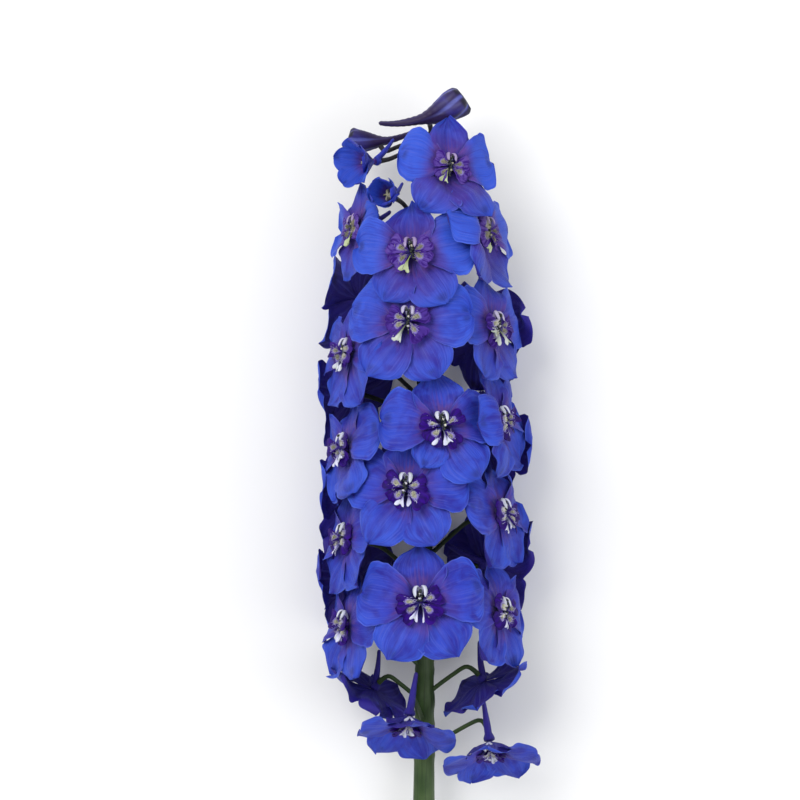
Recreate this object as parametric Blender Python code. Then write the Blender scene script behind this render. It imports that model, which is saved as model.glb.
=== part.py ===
"""A cut delphinium flower spike, laid on its side on a flat surface.

The stem lies along Y with its cut end at the low end and the buds at the high end, and +Z is up.
The spike is first laid out round a straight upright axis, in cylinder terms: a turn round the axis
(0 faces up, away from the surface), a height along the axis (0 at the foot of the picture that the
proportions come from) and a distance out from it. It is then settled on the surface: the stem bows
down to its cut end, and the flowers underneath give way and press flat.

Every open floret is two solids: five blue sepals with their spur, and the violet and white bee.
"""

import math

import bpy
import numpy as np

MM = 0.001

# Stem and axis
CUT_END = -116 * MM
TOP_NODE = 331.5 * MM
STEM_STATIONS = (  # height along the axis, radius
    (CUT_END, 5.9 * MM),
    (-20 * MM, 5.8 * MM),
    (40 * MM, 4.9 * MM),
    (100 * MM, 4.2 * MM),
    (170 * MM, 3.5 * MM),
    (240 * MM, 2.8 * MM),
    (300 * MM, 2.0 * MM),
    (TOP_NODE, 1.4 * MM),
)
STEM_SIDES = 10
SWAY = 1.5 * MM
AXIS_HEIGHT = 35.0 * MM  # of the flowering part above the surface
RISE_LENGTH = 220 * MM  # over which the stem climbs from its cut end to that height
UNDERSIDE_GIVE = 150 * MM  # smaller lets the flowers underneath give way more

# Florets
FLORET_LENGTH = 31.5 * MM  # centre to sepal tip
FACE_RADIUS = 42 * MM  # axis to floret centre
GAP = 0.3 * MM
SPUR_LENGTH = 22 * MM
SPUR_RADII = (2.2 * MM, 2.1 * MM, 1.5 * MM, 1.2 * MM)
PEDICEL_RADIUS = 1.2 * MM
PEDICEL_RISE = 26 * MM  # a floret sits this far above its node on the stem
PRESSED_REACH = 46 * MM  # how far below the axis the flowers underneath would reach, unpressed
CENTRE_ROOM = 12.6 * MM  # no neighbour's sepal tip comes closer to a floret's centre
SHOULDER_ROOM = 9 * MM  # nor its outline nearer than this
SHORTENING = 0.965  # each step by which a sepal gives a neighbour room
MOST_SHORTENINGS = 14
BEE_REACH = 8.5 * MM  # how far a bee stands out of its floret
LAYER_GAP = 2.5 * MM  # between the middles of sepals of two florets that overlap
DRAPE_SLOPE = 0.4  # a sepal climbs over its neighbour's edge no steeper than this
DRAPE_FLAT = 3 * MM  # round the edge the climb is already complete
DRAPE_REACH = 12 * MM  # where the climb starts

# A petal: length and half width as shares of the floret's length, direction in degrees from the top,
# how its outline swells and closes, the angles at which its middle line leaves and ends, cupping
# across, a crease along the middle, its layer, its margin's wave, a twist, thickness and columns.
UPPER = dict(
    length=0.92, half_width=0.40, turn=0, swell=1.00, close=0.75, leave=16, end=-22, cup=0.10,
    crease=-0.6 * MM, layer=-0.6 * MM, wave=1.0 * MM, twist=0.0, thick=1.1 * MM, columns=3,
)
LATERAL = dict(
    length=1.0, half_width=0.49, turn=77, swell=1.10, close=0.50, leave=14, end=-27, cup=0.06,
    crease=0.0, layer=1.3 * MM, wave=1.0 * MM, twist=0.0, thick=1.1 * MM, columns=5,
)
LOWER = dict(
    length=1.0, half_width=0.41, turn=149, swell=1.05, close=0.70, leave=10, end=-14, cup=0.05,
    crease=-0.8 * MM, layer=-0.6 * MM, wave=0.9 * MM, twist=0.0, thick=1.1 * MM, columns=3,
)
SEPALS = ((UPPER, 1), (LATERAL, 1), (LOWER, 1), (LOWER, -1), (LATERAL, -1))
SEPAL_ROWS = (0.34, 0.62, 0.87)

# The bee: a hood above, two pairs of dark lobes and a white petal below
LOBE = dict(
    length=0.38, half_width=0.175, turn=80, swell=0.9, close=0.42, leave=50, end=-5, cup=0.20,
    crease=0.0, layer=0.0, wave=0.0, twist=0.0, thick=1.0 * MM, columns=3,
)
LOW_LOBE = dict(LOBE, turn=135, leave=38, end=-15)
HOOD = dict(LOBE, turn=0, length=0.30, half_width=0.14, leave=82, end=50)
WHITE = dict(LOBE, turn=180, length=0.36, half_width=0.085, leave=64, end=-10)
BEE = ((HOOD, 1), (LOBE, 1), (LOW_LOBE, 1), (WHITE, 1), (LOW_LOBE, -1), (LOBE, -1))
BEE_ROWS = (0.6,)
STEEPEST, LEAST_BEND = 84, 20  # degrees: how steeply a petal of the bee may leave, and its bend

# A sepal of a half-open floret, five of which stand in a cup
CUP = dict(
    LATERAL, half_width=0.21, leave=50, end=108, cup=0.30, layer=0.0, wave=0.0,
    twist=1.0 * MM, columns=3,
)
CUP_TURNS = tuple(72 * k for k in range(5))

# A hub joins petals at their roots: ring radius and depth, front height, rear radius and depth
THROAT = dict(ring=3.2 * MM, depth=-1.2 * MM, front=0.0, rear_radius=2.4 * MM, rear=-5 * MM)
BEE_HUB = dict(
    ring=2.2 * MM, depth=1.9 * MM, front=3.2 * MM, rear_radius=2.2 * MM, rear=0.3 * MM
)

# Florets that face the viewer, in the order in which they overlap: turn round the axis in degrees,
# height along it, distance out, upward tilt, roll, size, and how much higher it ranks.
FACING = (
    (-3, 103.5 * MM, FACE_RADIUS, 9, 3, 1.0),
    (-12, 159.6 * MM, FACE_RADIUS, 12, -2, 0.98),
    (10.5, 190.2 * MM, FACE_RADIUS, 12, 4, 0.98),
    (-10.5, 242.3 * MM, FACE_RADIUS, 12, -3, 1.0),
    (-60, 290.7 * MM, 37 * MM, 10, 14, 0.85, -20 * MM),
    (-8.5, 276.4 * MM, 39 * MM, 12, 2, 1.0),
    (23, 320.8 * MM, 32 * MM, 4, -4, 0.85),
)
# Columns of florets down the sides and underneath: turn, first height, rise, count
COLUMNS = (
    (-62, 90 * MM, 46 * MM, 4),
    (59, 98 * MM, 47.5 * MM, 5),
    (-126, 108 * MM, 50 * MM, 4),
    (128, 122 * MM, 58 * MM, 3),
)
COLUMN_TILT = 11
JITTER_TURN, JITTER_HEIGHT, JITTER_ROLL = 4, 3 * MM, 12
SEED = 11
NARROWS_FROM = 230 * MM  # the height above which the face radius shrinks
PRESSED_BELOW = 0.3  # florets that face down at least this much lie on the surface

# Old florets that nod below the rest: place (across, along, out), facing direction, roll, size,
# and how far their sepals fold forward, in degrees
NODDING = (
    ((-26 * MM, 56 * MM, 4 * MM), (-0.55, -0.80, -0.25), 20, 0.78, 4),
    ((30 * MM, 60 * MM, 3 * MM), (0.55, -0.80, -0.20), -20, 0.80, 8),
    ((-8 * MM, 45 * MM, 30 * MM), (-0.10, -0.88, 0.45), -18, 0.88, 32),
    ((33 * MM, 30 * MM, 14 * MM), (0.10, -0.88, 0.45), 18, 0.88, 32),
)
# Half-open florets: place, facing direction, size, node height, angles at which sepals leave and end
HALF_OPEN = (
    ((-15 * MM, 306 * MM, 25 * MM), (-0.35, 0.10, 0.93), 0.62, 290 * MM, (55, 85)),
    ((-24 * MM, 325 * MM, 13 * MM), (-0.72, -0.12, 0.68), 0.68, 327 * MM, (62, 50)),
)
# Buds: tip of the spur, end of the body, size, node height
BUDS = (
    ((-22 * MM, 345 * MM, 8 * MM), (21.5 * MM, 357.5 * MM, 12 * MM), 1.0, TOP_NODE),
    ((0 * MM, 344 * MM, -7 * MM), (-38 * MM, 338 * MM, -4 * MM), 0.80, TOP_NODE),
    ((6 * MM, 333 * MM, -16 * MM), (17 * MM, 341 * MM, -24 * MM), 0.50, 318 * MM),
)
BUD_PROFILE = (  # share of the length from the spur's tip, radius
    (0.00, 1.1 * MM),
    (0.25, 1.7 * MM),
    (0.50, 2.3 * MM),
    (0.60, 3.6 * MM),
    (0.72, 6.0 * MM),
    (0.86, 8.2 * MM),
    (0.96, 8.0 * MM),
    (1.00, 5.0 * MM),
)
BUD_SIDES = 8
BUD_JOINT = 0.57  # where along it the pedicel joins
BUD_SAG = 0.10  # of its length

# The middle of the spike's outline on the surface, which becomes the origin
MIDDLE = (1.9 * MM, 123.4 * MM)

BLUE = (0.035, 0.060, 0.600, 1.0)
VIOLET = (0.035, 0.010, 0.220, 1.0)
INDIGO = (0.040, 0.020, 0.160, 1.0)
GREEN = (0.050, 0.110, 0.022, 1.0)


def material(name, colour, roughness):
    made = bpy.data.materials.new(name)
    made.use_nodes = True
    shader = made.node_tree.nodes["Principled BSDF"]
    shader.inputs["Base Color"].default_value = colour
    shader.inputs["Roughness"].default_value = roughness
    shader.inputs["Metallic"].default_value = 0.0
    made.diffuse_color = colour
    return made


# Shapes as (points, triangles), points in rows


def unit(vector):
    vector = np.asarray(vector, float)
    return vector / np.linalg.norm(vector, axis=-1, keepdims=True)


def facing_out(points, faces):
    """The shape with its triangles turned so that they face out."""
    corners = points[faces]
    volume = np.einsum("ij,ij->i", corners[:, 0], np.cross(corners[:, 1], corners[:, 2])).sum()
    return points, faces if volume > 0 else faces[:, ::-1]


def petal_offsets(middle, thickness):
    """Half the thickness as vectors at each point of a petal, from none at its rim."""
    along = np.gradient(middle, axis=0)
    across = np.gradient(middle, axis=1)
    across[-1] = across[-2]
    normal = unit(np.cross(across, along))
    share = 1 - np.linspace(-1, 1, middle.shape[1]) ** 2
    return normal * (thickness / 2) * share[None, :, None]


def strip(inner, outer):
    """Triangles between two rows; a root of three points may meet a row of five."""
    if len(inner) == len(outer):
        pairs = [(k, k, k + 1, k + 1) for k in range(len(inner) - 1)]
        found = []
        for a, b, c, d in pairs:
            found += [(inner[a], outer[b], outer[c]), (inner[a], outer[c], inner[d])]
        return found
    left, middle, right = inner
    a, b, c, d, e = outer
    return [
        (left, a, b), (left, b, middle), (middle, b, c),
        (middle, c, d), (middle, d, right), (right, d, e),
    ]


def joined_petals(petals, thicknesses, hub, size, place):
    """One closed thin sheet: petals in order round a hub, each joined to it at its root.

    The front and back faces share every rim, and their triangles are split alike. `place` takes
    the hub's own points to where the flower is.
    """
    count = len(petals)
    turns = [math.radians(turn) for turn, _ in petals]
    between = [
        (turns[k] + (turns[(k + 1) % count] + 2 * math.pi * (k + 1 == count))) / 2
        for k in range(count)
    ]

    def ring(radius, depth, angles):
        angles = np.array(angles)
        level = np.full(len(angles), depth)
        points = np.stack((radius * np.sin(angles), radius * np.cos(angles), level), axis=-1)
        return place(points * size)

    roots = ring(hub["ring"], hub["depth"], turns)
    joints = ring(hub["ring"], hub["depth"], between)
    rear = ring(hub["rear_radius"], hub["rear"], turns)
    points = list(joints) + list(rear) + [place(np.array((0, 0, hub["front"] * size)))]
    front_point = 2 * count
    front, back = [], []
    for k, (_, middle) in enumerate(petals):
        columns = middle.shape[1]
        root = np.stack((joints[k - 1], roots[k], joints[k]))
        wide = np.stack([
            np.interp(np.linspace(0, 2, columns), range(3), root[:, axis]) for axis in range(3)
        ], axis=-1)
        offsets = petal_offsets(np.concatenate((wide[None], middle)), thicknesses[k])
        root_offset = offsets[0, columns // 2]
        upper = [[(k - 1) % count, len(points), k]]
        lower = [[(k - 1) % count, len(points) + 1, k]]
        points += [roots[k] + root_offset, roots[k] - root_offset]
        for row, offset in zip(middle[:-1], offsets[1:-1]):
            above, below = [], []
            for j in range(columns):
                above.append(len(points))
                points.append(row[j] + offset[j])
                if 0 < j < columns - 1:
                    points.append(row[j] - offset[j])
                below.append(len(points) - 1)
            upper.append(above)
            lower.append(below)
        points.append(middle[-1, columns // 2])
        tip = len(points) - 1
        for rows, found in ((upper, front), (lower, back)):
            for inner, outer in zip(rows, rows[1:]):
                found += strip(inner, outer)
            last = rows[-1]
            found += [(last[j], tip, last[j + 1]) for j in range(columns - 1)]
        previous, following = (k - 1) % count, (k + 1) % count
        front += [(front_point, previous, upper[0][1]), (front_point, upper[0][1], k)]
        rear_here, rear_next = count + k, count + following
        back += [(rear_here, previous, lower[0][1]), (rear_here, lower[0][1], k)]
        back.append((rear_next, rear_here, k))
    for k in range(1, count - 1):
        back.append((count, count + k, count + k + 1))
    faces = front + [face[::-1] for face in back]
    return facing_out(np.array(points), np.array(faces))


def tube(path, radii, sides, side_hint=(0.0, 0.0, 1.0)):
    """A closed round tube along a path, with flat ends."""
    path = np.asarray(path, float)
    along = unit(np.gradient(path, axis=0))
    hint = np.asarray(side_hint, float)
    if np.abs(along @ hint).max() > 0.95:
        hint = np.array((1.0, 0.0, 0.0))
    first = unit(np.cross(along, hint))
    second = np.cross(along, first)
    turns = np.arange(sides) * 2 * math.pi / sides
    rings = [
        p + r * (np.cos(turns)[:, None] * a + np.sin(turns)[:, None] * b)
        for p, r, a, b in zip(path, radii, first, second)
    ]
    faces = []
    for i in range(len(rings) - 1):
        for k in range(sides):
            a, b = i * sides + k, i * sides + (k + 1) % sides
            faces += [(a, b, b + sides), (a, b + sides, a + sides)]
    last = (len(rings) - 1) * sides
    for k in range(1, sides - 1):
        faces += [(0, k + 1, k), (last, last + k, last + k + 1)]
    return facing_out(np.concatenate(rings), np.array(faces))


# Where things are round the straight axis, and how that settles on the surface


def sway(height):
    share = (height - CUT_END) / (TOP_NODE - CUT_END)
    return SWAY * np.sin(math.pi * np.clip(share, 0, 1))


def axis_height(height):
    share = np.clip((height - CUT_END) / RISE_LENGTH, 0, 1)
    low = STEM_STATIONS[0][1] * math.cos(math.pi / STEM_SIDES)
    return low + (AXIS_HEIGHT - low) * share * share * (3 - 2 * share)


def settled(points):
    """Points round the straight axis, moved to where they lie on the surface."""
    points = np.asarray(points, float)
    x, y, z = np.moveaxis(points, -1, 0)
    below = np.minimum(z, 0)
    z = np.maximum(z, 0) + below / (1 - below / UNDERSIDE_GIVE)
    return np.stack((x + sway(y), y, z + axis_height(y)), axis=-1)


def round_axis(turn, height, out):
    """The point at a turn in radians, a height and a distance out."""
    return np.stack((out * np.sin(turn), height + 0 * out, out * np.cos(turn)), axis=-1)


def stem_radius(height):
    stations = np.array(STEM_STATIONS)
    return float(np.interp(height, stations[:, 0], stations[:, 1]))


class Relief:
    """How far out the sepals laid so far reach, on a grid of turn and height.

    A later sepal is lifted clear of it, along a slope that starts before the neighbour's edge.
    """

    CELL = 2 * MM
    HIGHEST = 380 * MM

    def __init__(self, reach=None):
        self.turns = int(round(2 * math.pi * FACE_RADIUS / self.CELL))
        self.heights = int(round(self.HIGHEST / self.CELL))
        self.reach = np.zeros((self.turns, self.heights)) if reach is None else reach
        self.spread = self.cones()

    def cones(self):
        """The reach with each point widened into a cone with a flat top."""
        spread = self.reach.copy()
        steps = int(DRAPE_REACH / self.CELL)
        for i in range(-steps, steps + 1):
            for j in range(-steps, steps + 1):
                far = math.hypot(i, j) * self.CELL
                if far <= DRAPE_REACH:
                    drop = DRAPE_SLOPE * max(far - DRAPE_FLAT, 0)
                    moved = np.roll(self.reach, (i, j), (0, 1))
                    np.maximum(spread, moved - drop, out=spread)
        return spread

    def cells(self, points):
        turn = np.arctan2(points[..., 0], points[..., 2])
        along = np.floor(turn / (2 * math.pi) * self.turns).astype(int) % self.turns
        up = np.floor(points[..., 1] / self.CELL).astype(int)
        return along, np.clip(up, 0, self.heights - 1)

    def with_laid(self, points):
        """A new relief that also holds these points of a floret's sepals."""
        reach = self.reach.copy()
        np.maximum.at(reach, self.cells(points), np.hypot(points[:, 0], points[:, 2]))
        return Relief(reach)

    def least(self, points):
        """The least distance out that clears what is laid, or 0 where nothing is."""
        low = self.spread[self.cells(points)]
        return np.where(low > FACE_RADIUS / 2, low + LAYER_GAP, 0)

    def lifted(self, points, share, layer):
        """The points pushed out from the axis where they need to be, by the share given."""
        out = np.hypot(points[..., 0], points[..., 2])
        push = np.maximum(self.least(points) + layer - out, 0) * share
        scale = (out + push) / np.maximum(out, MM)
        return points * np.stack((scale, np.ones_like(scale), scale), axis=-1)


class Frame:
    """A flower's own axes: z out of its face, y towards its upper sepal."""

    def __init__(self, place, facing, roll):
        self.place = np.asarray(place, float)
        self.z = unit(facing)
        up = np.array((0.0, 1.0, 0.0)) - self.z[1] * self.z
        self.y = unit(up)
        self.x = np.cross(self.y, self.z)
        turn = math.radians(roll)
        self.x, self.y = (
            math.cos(turn) * self.x + math.sin(turn) * self.y,
            math.cos(turn) * self.y - math.sin(turn) * self.x,
        )

    def at(self, points):
        points = np.asarray(points, float)
        return self.place + points @ np.array((self.x, self.y, self.z))


def outline(share, swell, close):
    """Half width along a petal, from 0 at both ends to 1 at its widest."""
    widest = swell / (swell + close)
    top = widest**swell * (1 - widest) ** close
    return share**swell * (1 - share) ** close / top


def petal_points(shape, side, size, rows, phase=0.0):
    """Rows of middle points of a petal in its flower's axes, ending in the tip.

    The middle line is an arc from the leaving angle to the end angle. Across it, the petal is
    cupped or creased, and its margin waves. Columns run clockwise round the flower.
    """
    along = np.array(tuple(rows) + (1.0,))[:, None]
    across = np.linspace(-1, 1, shape["columns"])[None, :]
    length = shape["length"] * size * FLORET_LENGTH
    half = shape["half_width"] * size * FLORET_LENGTH
    width = half * outline(np.minimum(along, 0.9999), shape["swell"], shape["close"])
    width[-1] = 0
    leave, end = math.radians(shape["leave"]), math.radians(shape["end"])
    angle = leave + (end - leave) * along
    out = length * (np.sin(angle) - math.sin(leave)) / (end - leave)
    lift = length * (math.cos(leave) - np.cos(angle)) / (end - leave)
    bulge = shape["cup"] * width * across**2 + shape["twist"] * across * along
    bulge = bulge + shape["crease"] * (1 - np.abs(across)) * np.sin(math.pi * along)
    bulge = bulge + shape["wave"] * np.sin(5.5 * along + phase) * across**3 * along
    radial = out - np.sin(angle) * bulge
    z = lift + np.cos(angle) * bulge + shape["layer"] * np.sin(math.pi * along) ** 0.5
    sideways = width * across * side
    turn = math.radians(shape["turn"]) * side
    x = radial * math.sin(turn) + sideways * math.cos(turn)
    y = radial * math.cos(turn) - sideways * math.sin(turn)
    return np.stack((x, y, z), axis=-1)[:, ::side]


def close_rows(count=14):
    return tuple(0.05 + 0.93 * k / count for k in range(count))


class Floret:
    """An open floret: where it is, the sizes that its room allows it, and its shapes."""

    def __init__(self, turn, height, out, tilt, roll, size, lift=0.0):
        self.turn, self.height, self.lift = math.radians(turn), height, lift
        self.tilt, self.roll, self.size = math.radians(tilt), roll, size
        self.phase = 1.7 * turn + 40 * height / FLORET_LENGTH
        self.scales = [1.0] * len(SEPALS)
        self.spur_turn = 0.0
        self.spur_scale = 1.0
        self.fold = 0.0
        self.relief = None
        self.set_out(out)

    def set_out(self, out):
        self.out = out
        outward = np.array((math.sin(self.turn), 0.0, math.cos(self.turn)))
        facing = math.cos(self.tilt) * outward
        facing[1] = math.sin(self.tilt)
        self.frame = Frame(round_axis(self.turn, self.height, self.out), facing, self.roll)
        self.node_height = self.height - PEDICEL_RISE * self.size

    def downward(self):
        """How much it faces the surface, from -1 for straight up to 1."""
        return -math.cos(self.turn)

    def flat(self, x=0.0, y=0.0):
        """A place on the face, as distance round the axis and height along it."""
        turn = math.radians(self.roll)
        right = math.cos(turn) * x - math.sin(turn) * y
        up = math.sin(turn) * x + math.cos(turn) * y
        return np.array((self.turn * FACE_RADIUS + right, self.height + up))

    def share_room(self, others):
        """Shortens each sepal whose tip or shoulders would cover a neighbour's centre."""
        for k, (shape, side) in enumerate(SEPALS):
            turn = math.radians(shape["turn"]) * side
            along = np.array((math.sin(turn), math.cos(turn)))
            across = np.array((math.cos(turn), -math.sin(turn)))
            for _ in range(MOST_SHORTENINGS):
                length = shape["length"] * self.size * FLORET_LENGTH * self.scales[k]
                half = shape["half_width"] * self.size * FLORET_LENGTH * self.scales[k]
                marks = ((along * length, CENTRE_ROOM),)
                marks += tuple(
                    (along * length * share + across * half * s, SHOULDER_ROOM)
                    for share in (0.6, 0.85)
                    for s in (-0.9, 0, 0.9)
                )
                near = any(
                    np.linalg.norm(self.flat(*mark) - other) < room
                    for mark, room in marks
                    for other in others
                )
                if not near:
                    break
                self.scales[k] *= SHORTENING

    def sepal(self, k, rows, columns=None):
        shape, side = SEPALS[k]
        shape = dict(
            shape, columns=columns or shape["columns"],
            leave=shape["leave"] + self.fold, end=shape["end"] + self.fold,
        )
        points = petal_points(shape, side, self.size * self.scales[k], rows, self.phase + 2 * k)
        points = self.frame.at(points)
        if self.relief is not None:
            share = np.clip((np.array(tuple(rows) + (1.0,)) - 0.3) / 0.25, 0, 1)
            layer = max(shape["layer"], 0)
            points = self.relief.lifted(points, share[:, None], layer)
        return points

    def spur_path(self):
        turn = self.spur_turn
        length = SPUR_LENGTH * self.size * self.spur_scale
        shares = np.array((0.0, 0.33, 0.68, 1.0))
        back = 2.4 * MM * self.size + 0.86 * shares * length
        up = 1.9 * MM * self.size + length * (0.42 * shares + 0.20 * shares**2)
        path = np.stack((up * math.sin(turn), up * math.cos(turn), -back), axis=-1)
        return self.frame.at(path)

    def pedicel_path(self):
        """From inside the stem to just behind the throat, leaving up the stem and ending square."""
        end = self.frame.at((0.0, 0.0, THROAT["rear"] * self.size - 1.5 * GAP))
        start = np.array((0.0, self.node_height, 0.0))
        return bent(start, leaving(end), end, self.frame.z)

    def place(self, points):
        return settled(self.frame.at(points))

    def bee_tip(self):
        return self.frame.at((0.0, 0.0, BEE_REACH * self.size))

    def sepal_shapes(self):
        """Five sepals joined at the throat, and the spur behind it."""
        petals = [
            (shape["turn"] * side % 360, settled(self.sepal(k, SEPAL_ROWS)))
            for k, (shape, side) in enumerate(SEPALS)
        ]
        thick = [shape["thick"] for shape, _ in SEPALS]
        sheet = joined_petals(petals, thick, THROAT, self.size, self.place)
        spur = tube(settled(self.spur_path()), [r * self.size for r in SPUR_RADII], 5)
        return [sheet, spur]

    def bee_shapes(self):
        """A hood, four lobes and a white petal, joined just in front of the throat."""
        return [bee_sheet(self.size, self.place, self.fold)]


def bee_sheet(size, place, fold):
    petals = []
    for shape, side in BEE:
        leave = min(shape["leave"] + fold, STEEPEST)
        end = min(shape["end"] + fold, leave - LEAST_BEND)
        shape = dict(shape, leave=leave, end=end)
        points = petal_points(shape, side, size, BEE_ROWS)
        points[..., 2] += BEE_HUB["depth"] * size
        petals.append((shape["turn"] * side % 360, place(points)))
    thick = [shape["thick"] * size for shape, _ in BEE]
    return joined_petals(petals, thick, BEE_HUB, size, place)


class Nodding(Floret):
    """An old floret that hangs free below the rest, so it isn't laid over a neighbour."""

    def __init__(self, place, facing, roll, size, fold):
        place = np.array(place)
        turn = math.degrees(math.atan2(place[0], place[2]))
        super().__init__(turn, place[1], math.hypot(place[0], place[2]), 0, roll, size)
        self.frame = Frame(place, facing, roll)
        self.node_height = self.height - 8 * MM
        self.fold = fold


def clearance(path, lines):
    """The least distance between the points of a path and of the lines given."""
    return min(
        float(np.linalg.norm(path[:, None] - line[None], axis=-1).min()) for line in lines
    )


def dense(path, count=9):
    shares = np.linspace(0, len(path) - 1, count)
    return np.stack([np.interp(shares, range(len(path)), path[:, k]) for k in range(3)], axis=-1)


def place_spurs(florets, others):
    """Turns each spur about its floret until it is well clear of pedicels, stem and other spurs."""
    heights = np.linspace(CUT_END, TOP_NODE, 90)
    stem = np.stack((0 * heights, heights, 0 * heights), axis=-1)
    pedicels = [dense(f.pedicel_path(), 15) for f in florets] + others
    placed = []
    for i, floret in enumerate(florets):
        lines = [stem] + [p for j, p in enumerate(pedicels) if j != i] + placed
        best = None
        for scale in (1.0, 0.8, 0.62):
            for turn in (0, 25, -25, 50, -50, 75, -75):
                floret.spur_turn, floret.spur_scale = math.radians(turn), scale
                free = clearance(dense(floret.spur_path()), lines)
                score = min(free, 7 * MM) - 0.012 * MM * abs(turn) + 3 * MM * scale
                if best is None or score > best[0]:
                    best = (score, floret.spur_turn, scale)
        floret.spur_turn, floret.spur_scale = best[1:]
        placed.append(dense(floret.spur_path()))


def laid_points(floret):
    """Points close together over all sepals of a floret."""
    laid = [floret.sepal(k, close_rows(), 9).reshape(-1, 3) for k in range(len(SEPALS))]
    return np.concatenate(laid)


def side_columns():
    """The florets down the sides and underneath, evenly spaced with a small seeded scatter."""
    random = np.random.default_rng(SEED)
    florets = []
    for turn, first, rise, count in COLUMNS:
        for k in range(count):
            scatter = random.uniform(-1, 1, 3) * (JITTER_TURN, JITTER_HEIGHT, JITTER_ROLL)
            height = first + k * rise + scatter[1]
            out = FACE_RADIUS - max(0.12 * (height - NARROWS_FROM), 0)
            florets.append(Floret(turn + scatter[0], height, out, COLUMN_TILT, scatter[2], 0.94))
    return florets


def lay_out():
    """All florets of the close part, each laid over those below it."""
    florets = [Floret(*row) for row in FACING] + side_columns()
    centres = [floret.flat() for floret in florets]
    centres += [
        np.array((math.atan2(place[0], place[2]) * FACE_RADIUS, place[1]))
        for place, *_ in HALF_OPEN
    ]
    for i, floret in enumerate(florets):
        floret.share_room(centres[:i] + centres[i + 1 :])
    relief = Relief()
    for floret in sorted(florets, key=lambda f: (f.downward() > PRESSED_BELOW, f.height + f.lift)):
        downward = floret.downward()
        if downward > PRESSED_BELOW:
            deepest = min(laid_points(floret)[:, 2].min(), floret.bee_tip()[2])
            floret.set_out(floret.out + (PRESSED_REACH + deepest) / downward)
        floret.set_out(max(floret.out, float(relief.least(floret.frame.place))))
        floret.relief = relief
        relief = relief.with_laid(laid_points(floret))
    return sorted(florets, key=lambda f: f.height)


def bent(start, lean, end, square):
    """Points of a curve from start, first leaning one way, that ends square to a face."""
    reach = np.linalg.norm(end - start)
    last = end - 0.26 * reach * unit(square)
    bend = start + 0.42 * reach * unit(lean)
    shares = np.array((0.0, 0.5, 1.0))[:, None]
    curve = start * (1 - shares) ** 2 + 2 * bend * shares * (1 - shares) + last * shares**2
    return np.concatenate((curve, [end]))


def leaving(end):
    """The way in which a pedicel leaves the stem: outwards and up."""
    return unit(np.array((end[0], 0.0, end[2]))) * 0.75 + np.array((0.0, 0.66, 0.0))


class HalfOpen:
    """A floret whose sepals still stand in a cup round the young bee."""

    def __init__(self, place, facing, size, node_height, angles):
        self.frame = Frame(place, facing, 0)
        self.size, self.node_height = size, node_height
        self.cup = dict(CUP, leave=angles[0], end=angles[1])

    def place(self, points):
        return settled(self.frame.at(points))

    def spur_path(self):
        length = SPUR_LENGTH * self.size
        shares = np.array((0.0, 0.4, 1.0))
        back = 2.4 * MM * self.size + 0.86 * shares * length
        up = 1.9 * MM * self.size + length * (0.42 * shares + 0.20 * shares**2)
        return self.frame.at(np.stack((0 * shares, up, -back), axis=-1))

    def pedicel_path(self):
        end = self.frame.at((0.0, 0.0, THROAT["rear"] * self.size - 2 * GAP))
        start = np.array((0.0, self.node_height, 0.0))
        return bent(start, leaving(end), end, self.frame.z)

    def shapes(self):
        petals = [
            (turn, self.place(petal_points(dict(self.cup, turn=turn), 1, self.size, SEPAL_ROWS)))
            for turn in CUP_TURNS
        ]
        thick = [CUP["thick"]] * len(petals)
        sheet = joined_petals(petals, thick, THROAT, self.size, self.place)
        radii = (SPUR_RADII[0], SPUR_RADII[1], SPUR_RADII[3])
        spur = tube(settled(self.spur_path()), [r * self.size for r in radii], 5)
        core = self.place(np.array(((0, 0, -3 * MM), (0, 0, 5 * MM), (0, 0, 8 * MM))) * self.size)
        young = tube(core, np.array((1.6, 4.2, 2.0)) * MM * self.size, 6)
        return [sheet, spur, young]


class Bud:
    """A closed bud: a spur that swells into the body, carried by a pedicel at the neck."""

    def __init__(self, spur_tip, body_end, size, node_height):
        self.start, self.end = np.array(spur_tip), np.array(body_end)
        self.size, self.node_height = size, node_height

    def path(self):
        shares = np.array([share for share, _ in BUD_PROFILE])[:, None]
        sag = np.array((0.0, BUD_SAG, 0.0)) * np.linalg.norm(self.end - self.start)
        return self.start + (self.end - self.start) * shares - sag * 4 * shares * (1 - shares)

    def radii(self):
        return np.array([radius for _, radius in BUD_PROFILE]) * self.size

    def pedicel_path(self):
        """Ends square under the neck, a gap short of it."""
        shares = [share for share, _ in BUD_PROFILE]
        neck = np.array([np.interp(BUD_JOINT, shares, self.path()[:, k]) for k in range(3)])
        radius = np.interp(BUD_JOINT, shares, self.radii())
        start = np.array((0.0, self.node_height, 0.0))
        along = unit(self.end - self.start)
        inward = start - neck
        inward = unit(inward - (inward @ along) * along)
        end = neck + inward * (radius + GAP + 0.5 * MM)
        return bent(start, np.array((0.2 * end[0] / MM, 8.0, 0.2 * end[2] / MM)), end, -inward)

    def shapes(self):
        return [tube(settled(self.path()), self.radii(), BUD_SIDES)]


def stem_path():
    heights = np.array([height for height, _ in STEM_STATIONS])
    extra = np.linspace(CUT_END, heights[3], 7)[1:-1]
    heights = np.unique(np.concatenate((heights, extra)))
    return np.stack((0 * heights, heights, 0 * heights), axis=-1)


def stem_shapes(pedicels):
    heights = stem_path()
    radii = [stem_radius(height) for height in heights[:, 1]]
    shapes = [tube(settled(heights), radii, STEM_SIDES)]
    for path in pedicels:
        thick = PEDICEL_RADIUS * np.array((1.25, 1.0, 0.9, 1.0))
        shapes.append(tube(settled(path), thick, 5))
    return shapes


# Blender objects


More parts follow.
